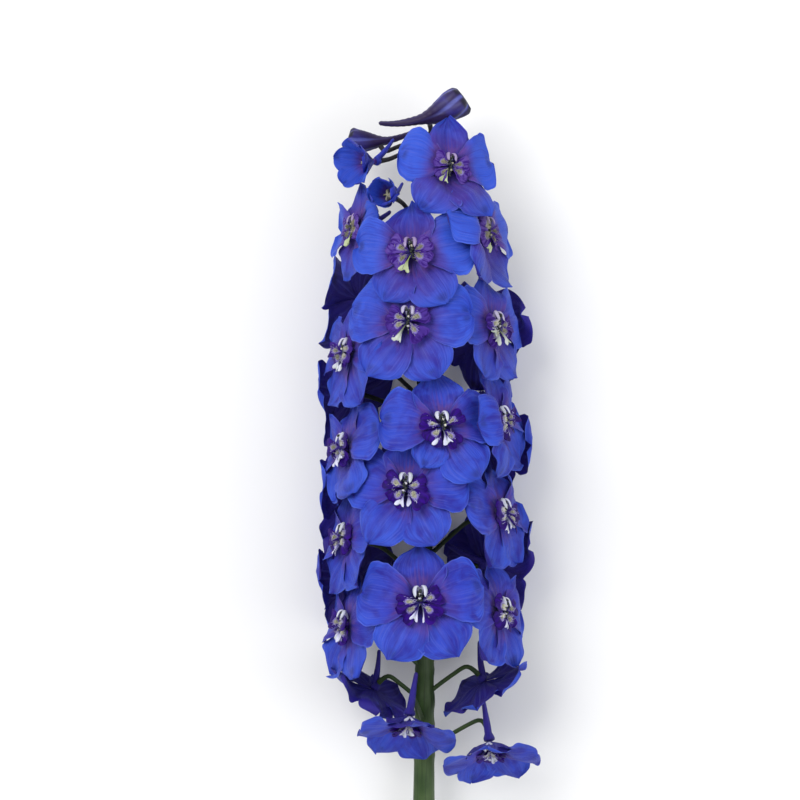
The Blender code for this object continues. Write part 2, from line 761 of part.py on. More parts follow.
def mesh_object(name, points, faces):
    """An object with its origin in the middle; what would sink into the surface lies flat on it."""
    mesh = bpy.data.meshes.new(name)
    points = points - np.array(MIDDLE + (0.0,))
    points[:, 2] = np.maximum(points[:, 2], 0.0)
    mesh.from_pydata(points.tolist(), [], faces.tolist())
    return bpy.data.objects.new(name, mesh)


def united(first, others, solver):
    """The mesh of the first object joined with a collection by a Boolean union."""
    union = first.modifiers.new("union", "BOOLEAN")
    union.operation = "UNION"
    union.operand_type = "COLLECTION"
    union.collection = others
    union.solver = solver
    graph = bpy.context.evaluated_depsgraph_get()
    joined = bpy.data.meshes.new_from_object(first.evaluated_get(graph))
    first.modifiers.clear()
    return joined


def node(name, shapes, finish, solver="EXACT"):
    """One object that joins its shapes."""
    first = mesh_object(name, *shapes[0])
    bpy.context.scene.collection.objects.link(first)
    if len(shapes) > 1:
        others = bpy.data.collections.new(name + "_joined")
        bpy.context.scene.collection.children.link(others)
        for k, shape in enumerate(shapes[1:]):
            others.objects.link(mesh_object(f"{name}_{k}", *shape))
        first.data = united(first, others, solver)
        for other in list(others.objects):
            bpy.data.objects.remove(other)
        bpy.data.collections.remove(others)
    first.data.materials.clear()
    first.data.materials.append(finish)
    first.data.shade_smooth()
    first.data.set_sharp_from_angle(angle=math.radians(50))
    return first


def main():
    for obj in list(bpy.data.objects):
        bpy.data.objects.remove(obj)
    florets = lay_out() + [Nodding(*row) for row in NODDING]
    florets.sort(key=lambda f: f.height)
    cups = [HalfOpen(*row) for row in HALF_OPEN]
    buds = [Bud(*row) for row in BUDS]
    others = [item.pedicel_path() for item in cups + buds]
    place_spurs(florets, [dense(path, 15) for path in others])
    pedicels = [floret.pedicel_path() for floret in florets] + others
    blue = material("sepal", BLUE, 0.5)
    violet = material("bee", VIOLET, 0.5)
    indigo = material("bud", INDIGO, 0.45)
    green = material("stem", GREEN, 0.5)
    node("stem", stem_shapes(pedicels), green)
    for number, floret in enumerate(florets, 1):
        node(f"floret_{number:02d}_sepals", floret.sepal_shapes(), blue, "MANIFOLD")
        node(f"floret_{number:02d}_bee", floret.bee_shapes(), violet)
    for number, cup in enumerate(cups, 1):
        node(f"half_open_{number}", cup.shapes(), indigo, "MANIFOLD")
    for number, bud in enumerate(buds, 1):
        node(f"bud_{number}", bud.shapes(), indigo)


main()
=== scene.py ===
"""A cut delphinium flower spike, dressed as fresh petals, stem and buds, lying on a pale floor.

The spike is laid out round a straight axis and then settled on the floor, by the same rules as the
solid model, so each fine piece stands where its solid is. Lengths are in metres, +Y runs along the
stem from its cut end to the buds, and +Z is up.
"""

import logging
import math
from collections.abc import Sequence
from dataclasses import dataclass, field, replace
from enum import Enum

import bpy
import numpy as np
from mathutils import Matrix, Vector


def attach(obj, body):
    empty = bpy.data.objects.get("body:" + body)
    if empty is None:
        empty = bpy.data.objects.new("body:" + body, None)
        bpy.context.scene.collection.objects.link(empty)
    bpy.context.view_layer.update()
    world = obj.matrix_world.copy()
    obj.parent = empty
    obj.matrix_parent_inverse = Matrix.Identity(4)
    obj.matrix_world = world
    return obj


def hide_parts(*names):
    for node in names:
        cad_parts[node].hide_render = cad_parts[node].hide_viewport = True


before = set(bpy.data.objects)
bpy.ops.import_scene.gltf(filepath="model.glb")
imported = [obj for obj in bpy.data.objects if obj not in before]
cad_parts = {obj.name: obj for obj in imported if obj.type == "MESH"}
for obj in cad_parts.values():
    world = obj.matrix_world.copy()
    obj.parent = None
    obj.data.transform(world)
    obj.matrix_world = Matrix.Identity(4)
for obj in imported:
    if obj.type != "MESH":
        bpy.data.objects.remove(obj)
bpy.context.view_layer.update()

MM = 0.001
TINY = 1e-12
BODY = "root"
Points = np.ndarray
Colour = tuple[float, float, float]
log = logging.getLogger("spike")


class Side(Enum):
    """Which way round its flower a petal of a pair stands."""

    RIGHT = 1
    LEFT = -1


class Kind(Enum):
    """The place of a sepal in its floret, as the number its finish reads."""

    UPPER = 0.0
    LATERAL = 0.5
    LOWER = 1.0


# Shader expressions


class Value:
    """A shader socket that takes part in Python expressions."""

    def __init__(self, graph: "Graph", socket: bpy.types.NodeSocket) -> None:
        """Keeps the node graph and the output socket."""
        self.graph = graph
        self.socket = socket

    def _math(self, operation: str, first: "Value | float", second: "Value | float") -> "Value":
        """A Math node.

        Args:
            operation: Blender's name of the operation.
            first: The first operand.
            second: The second operand.

        Returns:
            The node's result.
        """
        return self.graph.node(
            "ShaderNodeMath", {"operation": operation}, {0: first, 1: second}, "Value"
        )

    def __add__(self, other: "Value | float") -> "Value":
        """Sum."""
        return self._math("ADD", self, other)

    def __sub__(self, other: "Value | float") -> "Value":
        """Difference."""
        return self._math("SUBTRACT", self, other)

    def __rsub__(self, other: "Value | float") -> "Value":
        """Difference from a number."""
        return self._math("SUBTRACT", other, self)

    def __mul__(self, other: "Value | float") -> "Value":
        """Product."""
        return self._math("MULTIPLY", self, other)

    __radd__ = __add__
    __rmul__ = __mul__

    def absolute(self) -> "Value":
        """Its size without sign."""
        return self._math("ABSOLUTE", self, 0.0)

    def wave(self) -> "Value":
        """Its sine."""
        return self._math("SINE", self, 0.0)

    def between(self, low: float, high: float) -> "Value":
        """A smooth step over a range; with low above high it falls.

        Args:
            low: Where the step is 0.
            high: Where it is 1.

        Returns:
            The step, from 0 to 1.
        """
        rising = low < high
        ends = {"From Min": min(low, high), "From Max": max(low, high)}
        ends |= {"To Min": 0.0 if rising else 1.0, "To Max": 1.0 if rising else 0.0}
        return self.graph.node(
            "ShaderNodeMapRange", {"interpolation_type": "SMOOTHSTEP"}, {"Value": self, **ends},
            "Result",
        )


class Graph:
    """The node graph of one material."""

    def __init__(self, name: str) -> None:
        """Starts a material with an output node alone.

        Args:
            name: The material's name.
        """
        self.material = bpy.data.materials.new(name)
        self.material.use_nodes = True
        self.tree = self.material.node_tree
        self.tree.nodes.clear()
        self.output = self.tree.nodes.new("ShaderNodeOutputMaterial")

    @staticmethod
    def _socket(sockets: bpy.types.NodeInputs, key: str | int) -> bpy.types.NodeSocket:
        """Finds a socket.

        Args:
            sockets: A node's inputs or outputs.
            key: Its place, its identifier or its name.

        Returns:
            The socket.
        """
        if isinstance(key, int):
            return sockets[key]
        found = [socket for socket in sockets if socket.identifier == key]
        found += [socket for socket in sockets if socket.name == key and socket.enabled]
        return found[0]

    def node(
        self,
        kind: str,
        settings: dict[str, object] | None = None,
        inputs: dict[str | int, object] | None = None,
        output: str | int = 0,
    ) -> Value:
        """Any shader node, with its settings made before its sockets.

        Args:
            kind: Blender's type name of the node.
            settings: Its properties, such as a Math node's operation.
            inputs: Values or links of its sockets, by name, identifier or place.
            output: Which of its results to return.

        Returns:
            The chosen result.
        """
        made = self.tree.nodes.new(kind)
        for key, setting in (settings or {}).items():
            setattr(made, key, setting)
        for key, value in (inputs or {}).items():
            socket = self._socket(made.inputs, key)
            if isinstance(value, Value):
                self.tree.links.new(value.socket, socket)
            elif isinstance(value, tuple) and len(value) == 3 and socket.type == "RGBA":
                socket.default_value = (*value, 1.0)
            else:
                socket.default_value = value
        return Value(self, self._socket(made.outputs, output))

    def mix(self, factor: Value | float, first: Value | Colour, second: Value | Colour) -> Value:
        """A blend of two colours.

        Args:
            factor: 0 for the first, 1 for the second.
            first: A colour.
            second: Another.

        Returns:
            The blend.
        """
        inputs = {"Factor_Float": factor, "A_Color": first, "B_Color": second}
        return self.node("ShaderNodeMix", {"data_type": "RGBA"}, inputs, "Result_Color")

    def join(self, x: Value | float, y: Value | float, z: Value | float) -> Value:
        """A vector of three values."""
        return self.node("ShaderNodeCombineXYZ", {}, {"X": x, "Y": y, "Z": z}, "Vector")

    def noise(
        self, place: Value, scale: float, detail: float = 2.0, distortion: float = 0.0
    ) -> Value:
        """Soft noise from 0 to 1.

        Args:
            place: The coordinates it reads.
            scale: Its fineness.
            detail: Octaves.
            distortion: How much it swirls.

        Returns:
            The noise.
        """
        inputs = {"Vector": place, "Scale": scale, "Detail": detail, "Distortion": distortion}
        return self.node("ShaderNodeTexNoise", {"noise_dimensions": "3D"}, inputs, "Fac")

    def position(self) -> Value:
        """The object's own coordinates, in metres."""
        return self.node("ShaderNodeTexCoord", {}, {}, "Object")

    def attribute(self, name: str) -> tuple[Value, Value, Value]:
        """Reads three numbers that the mesh holds at each point.

        Args:
            name: The name they are held under.

        Returns:
            The numbers.
        """
        settings = {"attribute_type": "GEOMETRY", "attribute_name": name}
        held = self.node("ShaderNodeAttribute", settings, {}, "Vector")
        parts = self.node("ShaderNodeSeparateXYZ", {}, {"Vector": held}, "X")
        outputs = parts.socket.node.outputs
        return tuple(Value(self, outputs[axis]) for axis in "XYZ")

    def bump(self, height: Value, distance: float, strength: float = 1.0) -> Value:
        """A normal tilted by a height from 0 to 1 that stands for a distance in metres."""
        inputs = {"Height": height, "Distance": distance, "Strength": strength}
        return self.node("ShaderNodeBump", {}, inputs, "Normal")

    def principled(self, **sockets: object) -> Value:
        """A Principled shader; underscores in names stand for spaces."""
        inputs = {key.replace("_", " "): value for key, value in sockets.items()}
        return self.node("ShaderNodeBsdfPrincipled", {}, inputs, "BSDF")

    def finish(self, surface: Value) -> bpy.types.Material:
        """Puts the surface on the output and gives back the material."""
        self.tree.links.new(surface.socket, self.output.inputs["Surface"])
        return self.material


# Finishes


@dataclass(frozen=True)
class SepalFinish:
    """Satin blue sepal: violet eye, radial veins, pale rim, violet back with stripes and spots."""

    name: str = "sepal_satin"
    deep: Colour = (0.022, 0.021, 0.33)
    blue: Colour = (0.027, 0.040, 0.49)
    # Azure tint of young and lower sepals, also used for the painted highlight towards tips and
    # edges
    azure_and_highlight: Colour = (0.036, 0.105, 0.68)
    violet: Colour = (0.070, 0.030, 0.27)
    pink: Colour = (0.150, 0.055, 0.27)
    eye: Colour = (0.010, 0.002, 0.055)
    back: Colour = (0.036, 0.020, 0.24)
    rim: Colour = (0.110, 0.170, 0.74)
    lilac: Colour = (0.120, 0.135, 0.58)
    spot: Colour = (0.012, 0.003, 0.050)
    through: Colour = (0.015, 0.035, 0.62)
    roughness: float = 0.48
    veins: float = 12.0

    def material(self) -> bpy.types.Material:
        """Builds the finish.

        Returns:
            The material.
        """
        g = Graph(self.name)
        along, across, front = g.attribute("petal")
        age, seed, kind = g.attribute("growth")
        wide = across.absolute()
        fan = g.join(across * self.veins, along * 1.1, seed * 37.0)
        vein = g.noise(fan, 1.6, 4.0, 0.30)
        cloud = g.noise(g.join(across * 1.5, along * 2.2, seed * 61.0), 1.3, 3.0, 0.8)
        tint = g.noise(g.join(across * 2.2, along * 1.2, seed * 83.0), 1.2, 2.0, 0.5)
        fine = g.noise(g.join(across * 34.0, along * 4.0, seed * 23.0), 2.0, 3.0, 0.2)
        colour = g.mix(cloud.between(0.32, 0.68), self.deep, self.blue)
        # Painted highlight: lighter azure towards the tips and side edges, where the convex sepal
        # catches the light
        outer = along.between(0.40, 1.0) * 0.45 + wide.between(0.5, 1.0) * 0.30
        colour = g.mix(outer * cloud.between(0.30, 0.62), colour, self.azure_and_highlight)
        colour = g.mix(kind.between(0.6, 1.0) * tint.between(0.35, 0.7) * 0.45, colour, self.azure_and_highlight)
        colour = g.mix((1.0 - age) * cloud.between(0.3, 0.6) * 0.40, colour, self.azure_and_highlight)
        young = age.between(0.45, 0.05)
        beside = (kind - 0.5).absolute().between(0.30, 0.05)
        colour = g.mix(young * beside * along.between(0.30, 0.55) * 0.70, colour, self.azure_and_highlight)
        inner = young * (1.0 - beside) * along.between(1.05, 0.40)
        colour = g.mix(inner * 0.72, colour, self.violet)
        colour = g.mix(young * beside * along.between(0.62, 0.30) * 0.45, colour, self.pink)
        colour = g.mix(vein.between(0.52, 0.70) * 0.42, colour, self.deep)
        colour = g.mix(vein.between(0.47, 0.36) * 0.22, colour, self.lilac)
        midrib = wide.between(0.16, 0.0) * along.between(0.95, 0.25)
        colour = g.mix(midrib * kind * 0.40, colour, self.lilac)
        stripes = wide.between(0.42, 0.05) * along.between(0.85, 0.10)
        stripes = stripes * (across * 40.0 + seed * 9.0).wave().between(-0.4, 0.9)
        colour = g.mix(stripes * kind.between(0.5, 0.0) * 0.70, colour, self.pink)
        reach = along + (tint - 0.5) * 0.5
        flush = reach.between(0.66, 0.20) * (0.30 + vein * 0.9)
        colour = g.mix(flush * 0.70, colour, self.violet)
        blush = reach.between(0.24, 0.34) * reach.between(0.52, 0.40) * tint.between(0.42, 0.62)
        colour = g.mix(blush * (0.25 + fine * 0.5), colour, self.pink)
        halo = along + (vein - 0.5) * 0.22 + kind.between(0.0, 0.9) * 0.05
        colour = g.mix(halo.between(0.32, 0.14) * 0.95, colour, self.eye)
        colour = g.mix(wide.between(0.960, 0.995) * 0.50, colour, self.rim)
        behind = g.mix(cloud.between(0.25, 0.75) * 0.55, self.back, self.deep)
        ribs = (across * 22.0 + seed * 5.0).wave().between(0.1, 1.0) * wide.between(0.75, 0.1)
        behind = g.mix(ribs * 0.30, behind, self.lilac)
        behind = g.mix(vein.between(0.52, 0.72) * 0.40, behind, self.eye)
        colour = g.mix(1.0 - front.between(0.35, 0.65), colour, behind)
        blot = along.between(0.80, 0.90) * along.between(0.985, 0.93) * wide.between(0.42, 0.12)
        blot = blot * (cloud + fine * 0.3).between(0.52, 0.72)
        blot = blot * (1.0 - front.between(0.35, 0.65) * 0.45)
        colour = g.mix(blot * 0.85, colour, self.spot)
        relief = vein * 0.65 + fine * 0.35
        shader = g.principled(
            Base_Color=colour,
            Roughness=self.roughness + fine * 0.10 - outer * 0.06,
            Normal=g.bump(relief, 0.70 * MM, 0.9),
            Specular_IOR_Level=0.26,
            Sheen_Weight=0.12,
            Sheen_Roughness=0.35,
            Sheen_Tint=(0.25, 0.35, 1.0),
        )
        glow = g.node("ShaderNodeBsdfTranslucent", {}, {"Color": self.through}, "BSDF")
        mixed = g.node("ShaderNodeMixShader", {}, {0: 0.14, 1: shader, 2: glow}, "Shader")
        return g.finish(mixed)


@dataclass(frozen=True)
class LobeFinish:
    """Velvety black-violet lobe of the bee, pale at its claw and under its beard."""

    name: str = "lobe_velvet"
    dark: Colour = (0.010, 0.000, 0.085)
    violet: Colour = (0.026, 0.000, 0.190)
    claw: Colour = (0.045, 0.045, 0.22)
    patch: Colour = (0.30, 0.30, 0.20)
    halo: Colour = (0.28, 0.23, 0.62)
    # Lighter violet for young lobes, also used for the painted sheen along the margin
    rim: Colour = (0.060, 0.008, 0.28)
    back: Colour = (0.024, 0.004, 0.15)
    mauve: Colour = (0.120, 0.070, 0.33)

    def material(self) -> bpy.types.Material:
        """Builds the finish.

        Returns:
            The material.
        """
        g = Graph(self.name)
        along, across, front = g.attribute("petal")
        age, seed, _ = g.attribute("growth")
        wide = across.absolute()
        cloud = g.noise(g.join(across * 3.0, along * 2.0, seed * 41.0), 1.5, 3.0, 0.4)
        streak = g.noise(g.join(across * 12.0, along * 1.2, seed * 19.0), 1.5, 2.0, 0.2)
        colour = g.mix(cloud.between(0.35, 0.7), self.dark, self.violet)
        colour = g.mix(age.between(0.5, 0.0) * 0.35, colour, self.rim)
        fresh = age.between(0.40, 0.05) * cloud.between(0.38, 0.62)
        colour = g.mix(fresh * 0.75, colour, self.mauve)
        # Painted sheen: lighter violet along the lobe's margin
        colour = g.mix(wide.between(0.95, 1.0) * 0.5, colour, self.rim)
        off, aside = along - 0.50, across + (seed - 0.5) * 0.2
        spread = off * off * 18.0 + aside * aside * 2.2
        spread = spread + (cloud - 0.5) * 0.5
        colour = g.mix(spread.between(0.75, 0.30) * 0.75, colour, self.halo)
        colour = g.mix(spread.between(0.36, 0.14) * 0.85, colour, self.patch)
        claw = (along + (streak - 0.5) * 0.2).between(0.34, 0.18)
        colour = g.mix(claw * 0.85, colour, self.claw)
        colour = g.mix((1.0 - front.between(0.35, 0.65)) * 0.7, colour, self.back)
        surface = g.principled(
            Base_Color=colour,
            Roughness=0.42 + cloud * 0.2,
            Normal=g.bump(streak * 0.6 + cloud * 0.4, 0.3 * MM, 0.8),
            Specular_IOR_Level=0.12,
        )
        return g.finish(surface)


@dataclass(frozen=True)
class PaleFinish:
    """White petal or hood of the bee, faintly lilac at its claw and glossy on its curl."""

    name: str = "petal_white"
    white: Colour = (0.62, 0.63, 0.80)
    lilac: Colour = (0.33, 0.31, 0.58)
    claw: Colour = (0.035, 0.030, 0.17)
    green: Colour = (0.34, 0.40, 0.30)
    young: Colour = (0.36, 0.44, 0.12)
    mauve: Colour = (0.24, 0.13, 0.36)
    roughness: float = 0.30

    def material(self) -> bpy.types.Material:
        """Builds the finish.

        Returns:
            The material.
        """
        g = Graph(self.name)
        along, across, _ = g.attribute("petal")
        age, seed, kind = g.attribute("growth")
        wide = across.absolute()
        streak = g.noise(g.join(across * 9.0, along * 1.5, seed * 29.0), 1.4, 2.0, 0.2)
        ragged = along + (streak - 0.5) * 0.3
        colour = g.mix(ragged.between(0.78, 0.55), self.white, self.lilac)
        colour = g.mix(ragged.between(0.62, 0.45), colour, self.claw)
        tinge = wide.between(0.65, 0.15) * streak.between(0.3, 0.6) * 0.6
        colour = g.mix(tinge, colour, self.green)
        fresh = age.between(0.42, 0.10)
        tender = g.mix(kind.between(0.4, 0.6), self.young, self.mauve)
        colour = g.mix(fresh * 0.75, colour, tender)
        surface = g.principled(
            Base_Color=colour,
            Roughness=self.roughness + streak * 0.15,
            Normal=g.bump(streak, 0.25 * MM, 0.6),
            Specular_IOR_Level=0.5,
        )
        return g.finish(surface)


@dataclass(frozen=True)
class BeardFinish:
    """Cream hairs that turn yellow-green towards their roots."""

    name: str = "beard_cream"
    tip: Colour = (0.70, 0.70, 0.52)
    root: Colour = (0.26, 0.27, 0.10)
    lilac: Colour = (0.48, 0.44, 0.80)
    young: Colour = (0.27, 0.25, 0.13)

    def material(self) -> bpy.types.Material:
        """Builds the finish.

        Returns:
            The material.
        """
        g = Graph(self.name)
        along, outer, _ = g.attribute("petal")
        age, seed, _ = g.attribute("growth")
        shade = g.noise(g.join(seed * 50.0, along, outer * 9.0), 3.0, 1.0)
        colour = g.mix(along.between(0.05, 0.75), self.root, self.tip)
        colour = g.mix(outer.between(0.45, 0.95) * 0.85, colour, self.lilac)
        colour = g.mix(age.between(0.40, 0.05) * 0.80, colour, self.young)
        colour = g.mix(shade.between(0.55, 0.85) * 0.25, colour, (0.80, 0.80, 0.78))
        return g.finish(g.principled(Base_Color=colour, Roughness=0.55 + shade * 0.1))


@dataclass(frozen=True)
class StamenFinish:
    """Green-black stamens with dusty heads."""

    name: str = "stamen_dark"
    dark: Colour = (0.006, 0.009, 0.010)
    dust: Colour = (0.035, 0.050, 0.040)

    def material(self) -> bpy.types.Material:
        """Builds the finish.

        Returns:
            The material.
        """
        g = Graph(self.name)
        speck = g.noise(g.position(), 2600.0, 2.0)
        colour = g.mix(speck.between(0.45, 0.7), self.dark, self.dust)
        surface = g.principled(
            Base_Color=colour, Roughness=0.45 + speck * 0.2, Normal=g.bump(speck, 0.15 * MM)
        )
        return g.finish(surface)


@dataclass(frozen=True)
class StemFinish:
    """Green stem: fine ribs, pale bloom, mottling, and darker towards the flowers."""

    name: str = "stem_green"
    green: Colour = (0.026, 0.058, 0.013)
    pale: Colour = (0.058, 0.100, 0.030)
    dark: Colour = (0.008, 0.015, 0.007)
    violet: Colour = (0.014, 0.008, 0.020)

    def material(self) -> bpy.types.Material:
        """Builds the finish.

        Returns:
            The material.
        """
        g = Graph(self.name)
        along, around, thin = g.attribute("petal")
        height, seed, _ = g.attribute("growth")
        fibre = g.noise(g.join(around * 26.0, along * 14.0, seed * 11.0), 1.6, 3.0, 0.2)
        cloud = g.noise(g.position(), 38.0, 3.0, 0.5)
        colour = g.mix(cloud.between(0.35, 0.70), self.green, self.pale)
        colour = g.mix(fibre.between(0.50, 0.72) * 0.45, colour, self.dark)
        colour = g.mix(height.between(0.25, 0.72) * 0.75, colour, self.dark)
        colour = g.mix(thin * height.between(0.35, 0.95) * 0.80, colour, self.violet)
        surface = g.principled(
            Base_Color=colour,
            Roughness=0.40 + fibre * 0.2,
            Normal=g.bump(fibre * 0.7 + cloud * 0.3, 0.35 * MM, 0.8),
            Specular_IOR_Level=0.3,
        )
        return g.finish(surface)


@dataclass(frozen=True)
class CutFinish:
    """The cut face of the stem: a wet green ring of bundles round paler pith."""

    name: str = "stem_cut"
    ring: Colour = (0.09, 0.16, 0.04)
    pith: Colour = (0.36, 0.42, 0.22)
    dark: Colour = (0.04, 0.07, 0.02)

    def material(self) -> bpy.types.Material:
        """Builds the finish.

        Returns:
            The material.
        """
        g = Graph(self.name)
        out, around, _ = g.attribute("petal")
        cells = g.noise(g.position(), 1500.0, 2.0)
        colour = g.mix((out + (cells - 0.5) * 0.15).between(0.52, 0.72), self.pith, self.ring)
        bundles = (around * 69.0).wave().between(0.2, 0.9) * out.between(0.66, 0.76)
        colour = g.mix(bundles * out.between(0.98, 0.90) * 0.6, colour, self.dark)
        surface = g.principled(
            Base_Color=colour, Roughness=0.32 + cells * 0.3, Normal=g.bump(cells, 0.2 * MM)
        )
        return g.finish(surface)


@dataclass(frozen=True)
class BudFinish:
    """Indigo bud with lavender-blue seams, wrinkles down its spur and a dark spot at its tip."""

    name: str = "bud_indigo"
    indigo: Colour = (0.014, 0.005, 0.060)
    blue: Colour = (0.028, 0.022, 0.190)
    stripe: Colour = (0.110, 0.130, 0.480)
    violet: Colour = (0.018, 0.006, 0.050)
    tip: Colour = (0.005, 0.004, 0.014)

    def material(self) -> bpy.types.Material:
        """Builds the finish.

        Returns:
            The material.
        """
        g = Graph(self.name)
        along, around, seam = g.attribute("petal")
        _, seed, _ = g.attribute("growth")
        streak = g.noise(g.join(around * 14.0, along * 3.0, seed * 17.0), 1.5, 3.0, 0.3)
        cloud = g.noise(g.position(), 140.0, 2.0, 0.4)
        body = along.between(0.50, 0.72)
        colour = g.mix(body * cloud.between(0.3, 0.75), self.indigo, self.blue)
        colour = g.mix((1.0 - body) * 0.8, colour, self.violet)
        seams = seam.between(0.60, 1.0) * (0.25 + streak * 0.9)
        colour = g.mix(seams * (0.15 + body * 0.80), colour, self.stripe)
        colour = g.mix(streak.between(0.56, 0.75) * 0.4, colour, self.indigo)
        corner = along.between(0.84, 0.93) * seam.between(0.75, 0.30)
        colour = g.mix(corner * 0.9, colour, self.tip)
        colour = g.mix(along.between(0.965, 0.990), colour, self.tip)
        surface = g.principled(
            Base_Color=colour,
            Roughness=0.42 + streak * 0.18,
            Normal=g.bump(streak * 0.7 + cloud * 0.3, 0.4 * MM, 0.8),
            Specular_IOR_Level=0.35,
            Sheen_Weight=0.15,
            Sheen_Roughness=0.35,
            Sheen_Tint=(0.4, 0.45, 1.0),
        )
        return g.finish(surface)


@dataclass(frozen=True)
class FloorFinish:
    """Matt pale studio floor."""

    name: str = "floor_pale"
    pale: Colour = (0.86, 0.86, 0.86)
    shade: Colour = (0.83, 0.83, 0.83)

    def material(self) -> bpy.types.Material:
        """Builds the finish.

        Returns:
            The material.
        """
        g = Graph(self.name)
        cloud = g.noise(g.position(), 3.0, 3.0)
        colour = g.mix(cloud, self.shade, self.pale)
        return g.finish(g.principled(Base_Color=colour, Roughness=0.85, Specular_IOR_Level=0.1))


# Half-open sepals are blue outside as well
YOUNG_SEPAL = SepalFinish(name="sepal_young", back=(0.030, 0.050, 0.50), eye=(0.030, 0.022, 0.20))


@dataclass
class Finishes:
    """Every finish, built once and shared."""

    sepal: bpy.types.Material = field(default_factory=SepalFinish().material)
    cup: bpy.types.Material = field(default_factory=YOUNG_SEPAL.material)
    lobe: bpy.types.Material = field(default_factory=LobeFinish().material)
    pale: bpy.types.Material = field(default_factory=PaleFinish().material)
    beard: bpy.types.Material = field(default_factory=BeardFinish().material)
    stamen: bpy.types.Material = field(default_factory=StamenFinish().material)
    stem: bpy.types.Material = field(default_factory=StemFinish().material)
    cut: bpy.types.Material = field(default_factory=CutFinish().material)
    bud: bpy.types.Material = field(default_factory=BudFinish().material)
    floor: bpy.types.Material = field(default_factory=FloorFinish().material)


# Mesh tools


def unit(vectors: Points) -> Points:
    """Vectors at length 1."""
    size = np.linalg.norm(vectors, axis=-1, keepdims=True)
    return np.asarray(vectors, float) / np.maximum(size, TINY)


def turns_round(count: int) -> Points:
    """Evenly spread angles of a full turn, in radians."""
    return np.arange(count) * 2 * math.pi / count


def ring_quads(rows: int, sides: int, outward: int = 1) -> Points:
    """Joins the rings of a closed grid of points.

    Args:
        rows: How many rings there are.
        sides: Points in each.
        outward: 1, or -1 to turn the faces the other way.

    Returns:
        The quads.
    """
    index = np.arange(rows * sides).reshape(rows, sides)
    turned = np.roll(index, -1, axis=1)
    quads = np.stack((index[:-1], turned[:-1], turned[1:], index[1:]), -1).reshape(-1, 4)
    return quads if outward > 0 else quads[:, (0, 3, 2, 1)]


def on_axis(heights: Points) -> Points:
    """Points at heights along the straight axis."""
    return np.stack((0 * heights, heights, 0 * heights), -1)


def linked(name: str, data: bpy.types.ID) -> bpy.types.Object:
    """Puts a mesh, lamp or camera in the scene.

    Args:
        name: The object's name.
        data: What it shows.

    Returns:
        The object.
    """
    made = bpy.data.objects.new(name, data)
    bpy.context.scene.collection.objects.link(made)
    return made


class Shape:
    """Points, faces, finishes and the numbers that finishes read, gathered into one mesh."""

    sharp_angle = 62.0

    def __init__(self) -> None:
        """Starts empty."""
        self.points: list[Points] = []
        self.faces: list[Points] = []
        self.slots: list[int] = []
        self.finishes: list[bpy.types.Material] = []
        self.petal: list[Points] = []
        self.growth: list[Points] = []
        self.count = 0

    def add(
        self,
        points: Points,
        faces: Sequence[Points],
        finish: bpy.types.Material,
        petal: Points,
        growth: tuple[float, float, float],
    ) -> None:
        """Adds a patch.

        Args:
            points: Its points, in rows.
            faces: Arrays of triangles or of quads.
            finish: Its material.
            petal: Three numbers at each point, for the finish.
            growth: Three numbers that are the same over the patch.
        """
        if finish not in self.finishes:
            self.finishes.append(finish)
        slot = self.finishes.index(finish)
        for some in faces:
            self.faces.append(np.asarray(some) + self.count)
            self.slots += [slot] * len(some)
        self.points.append(points)
        self.petal.append(np.broadcast_to(petal, (len(points), 3)))
        self.growth.append(np.broadcast_to(growth, (len(points), 3)))
        self.count += len(points)

    def object(self, name: str) -> bpy.types.Object:
        """Makes the Blender object.

        Args:
            name: Its name.

        Returns:
            The object, linked to the scene.
        """
        mesh = bpy.data.meshes.new(name)
        faces = [face for some in self.faces for face in some.tolist()]
        mesh.from_pydata(np.concatenate(self.points).tolist(), [], faces)
        for label, held in (("petal", self.petal), ("growth", self.growth)):
            made = mesh.attributes.new(label, "FLOAT_VECTOR", "POINT")
            made.data.foreach_set("vector", np.concatenate(held).astype(np.float32).ravel())
        for finish in self.finishes:
            mesh.materials.append(finish)
        mesh.polygons.foreach_set("material_index", self.slots)
        mesh.shade_smooth()
        mesh.set_sharp_from_angle(angle=math.radians(self.sharp_angle))
        return linked(name, mesh)


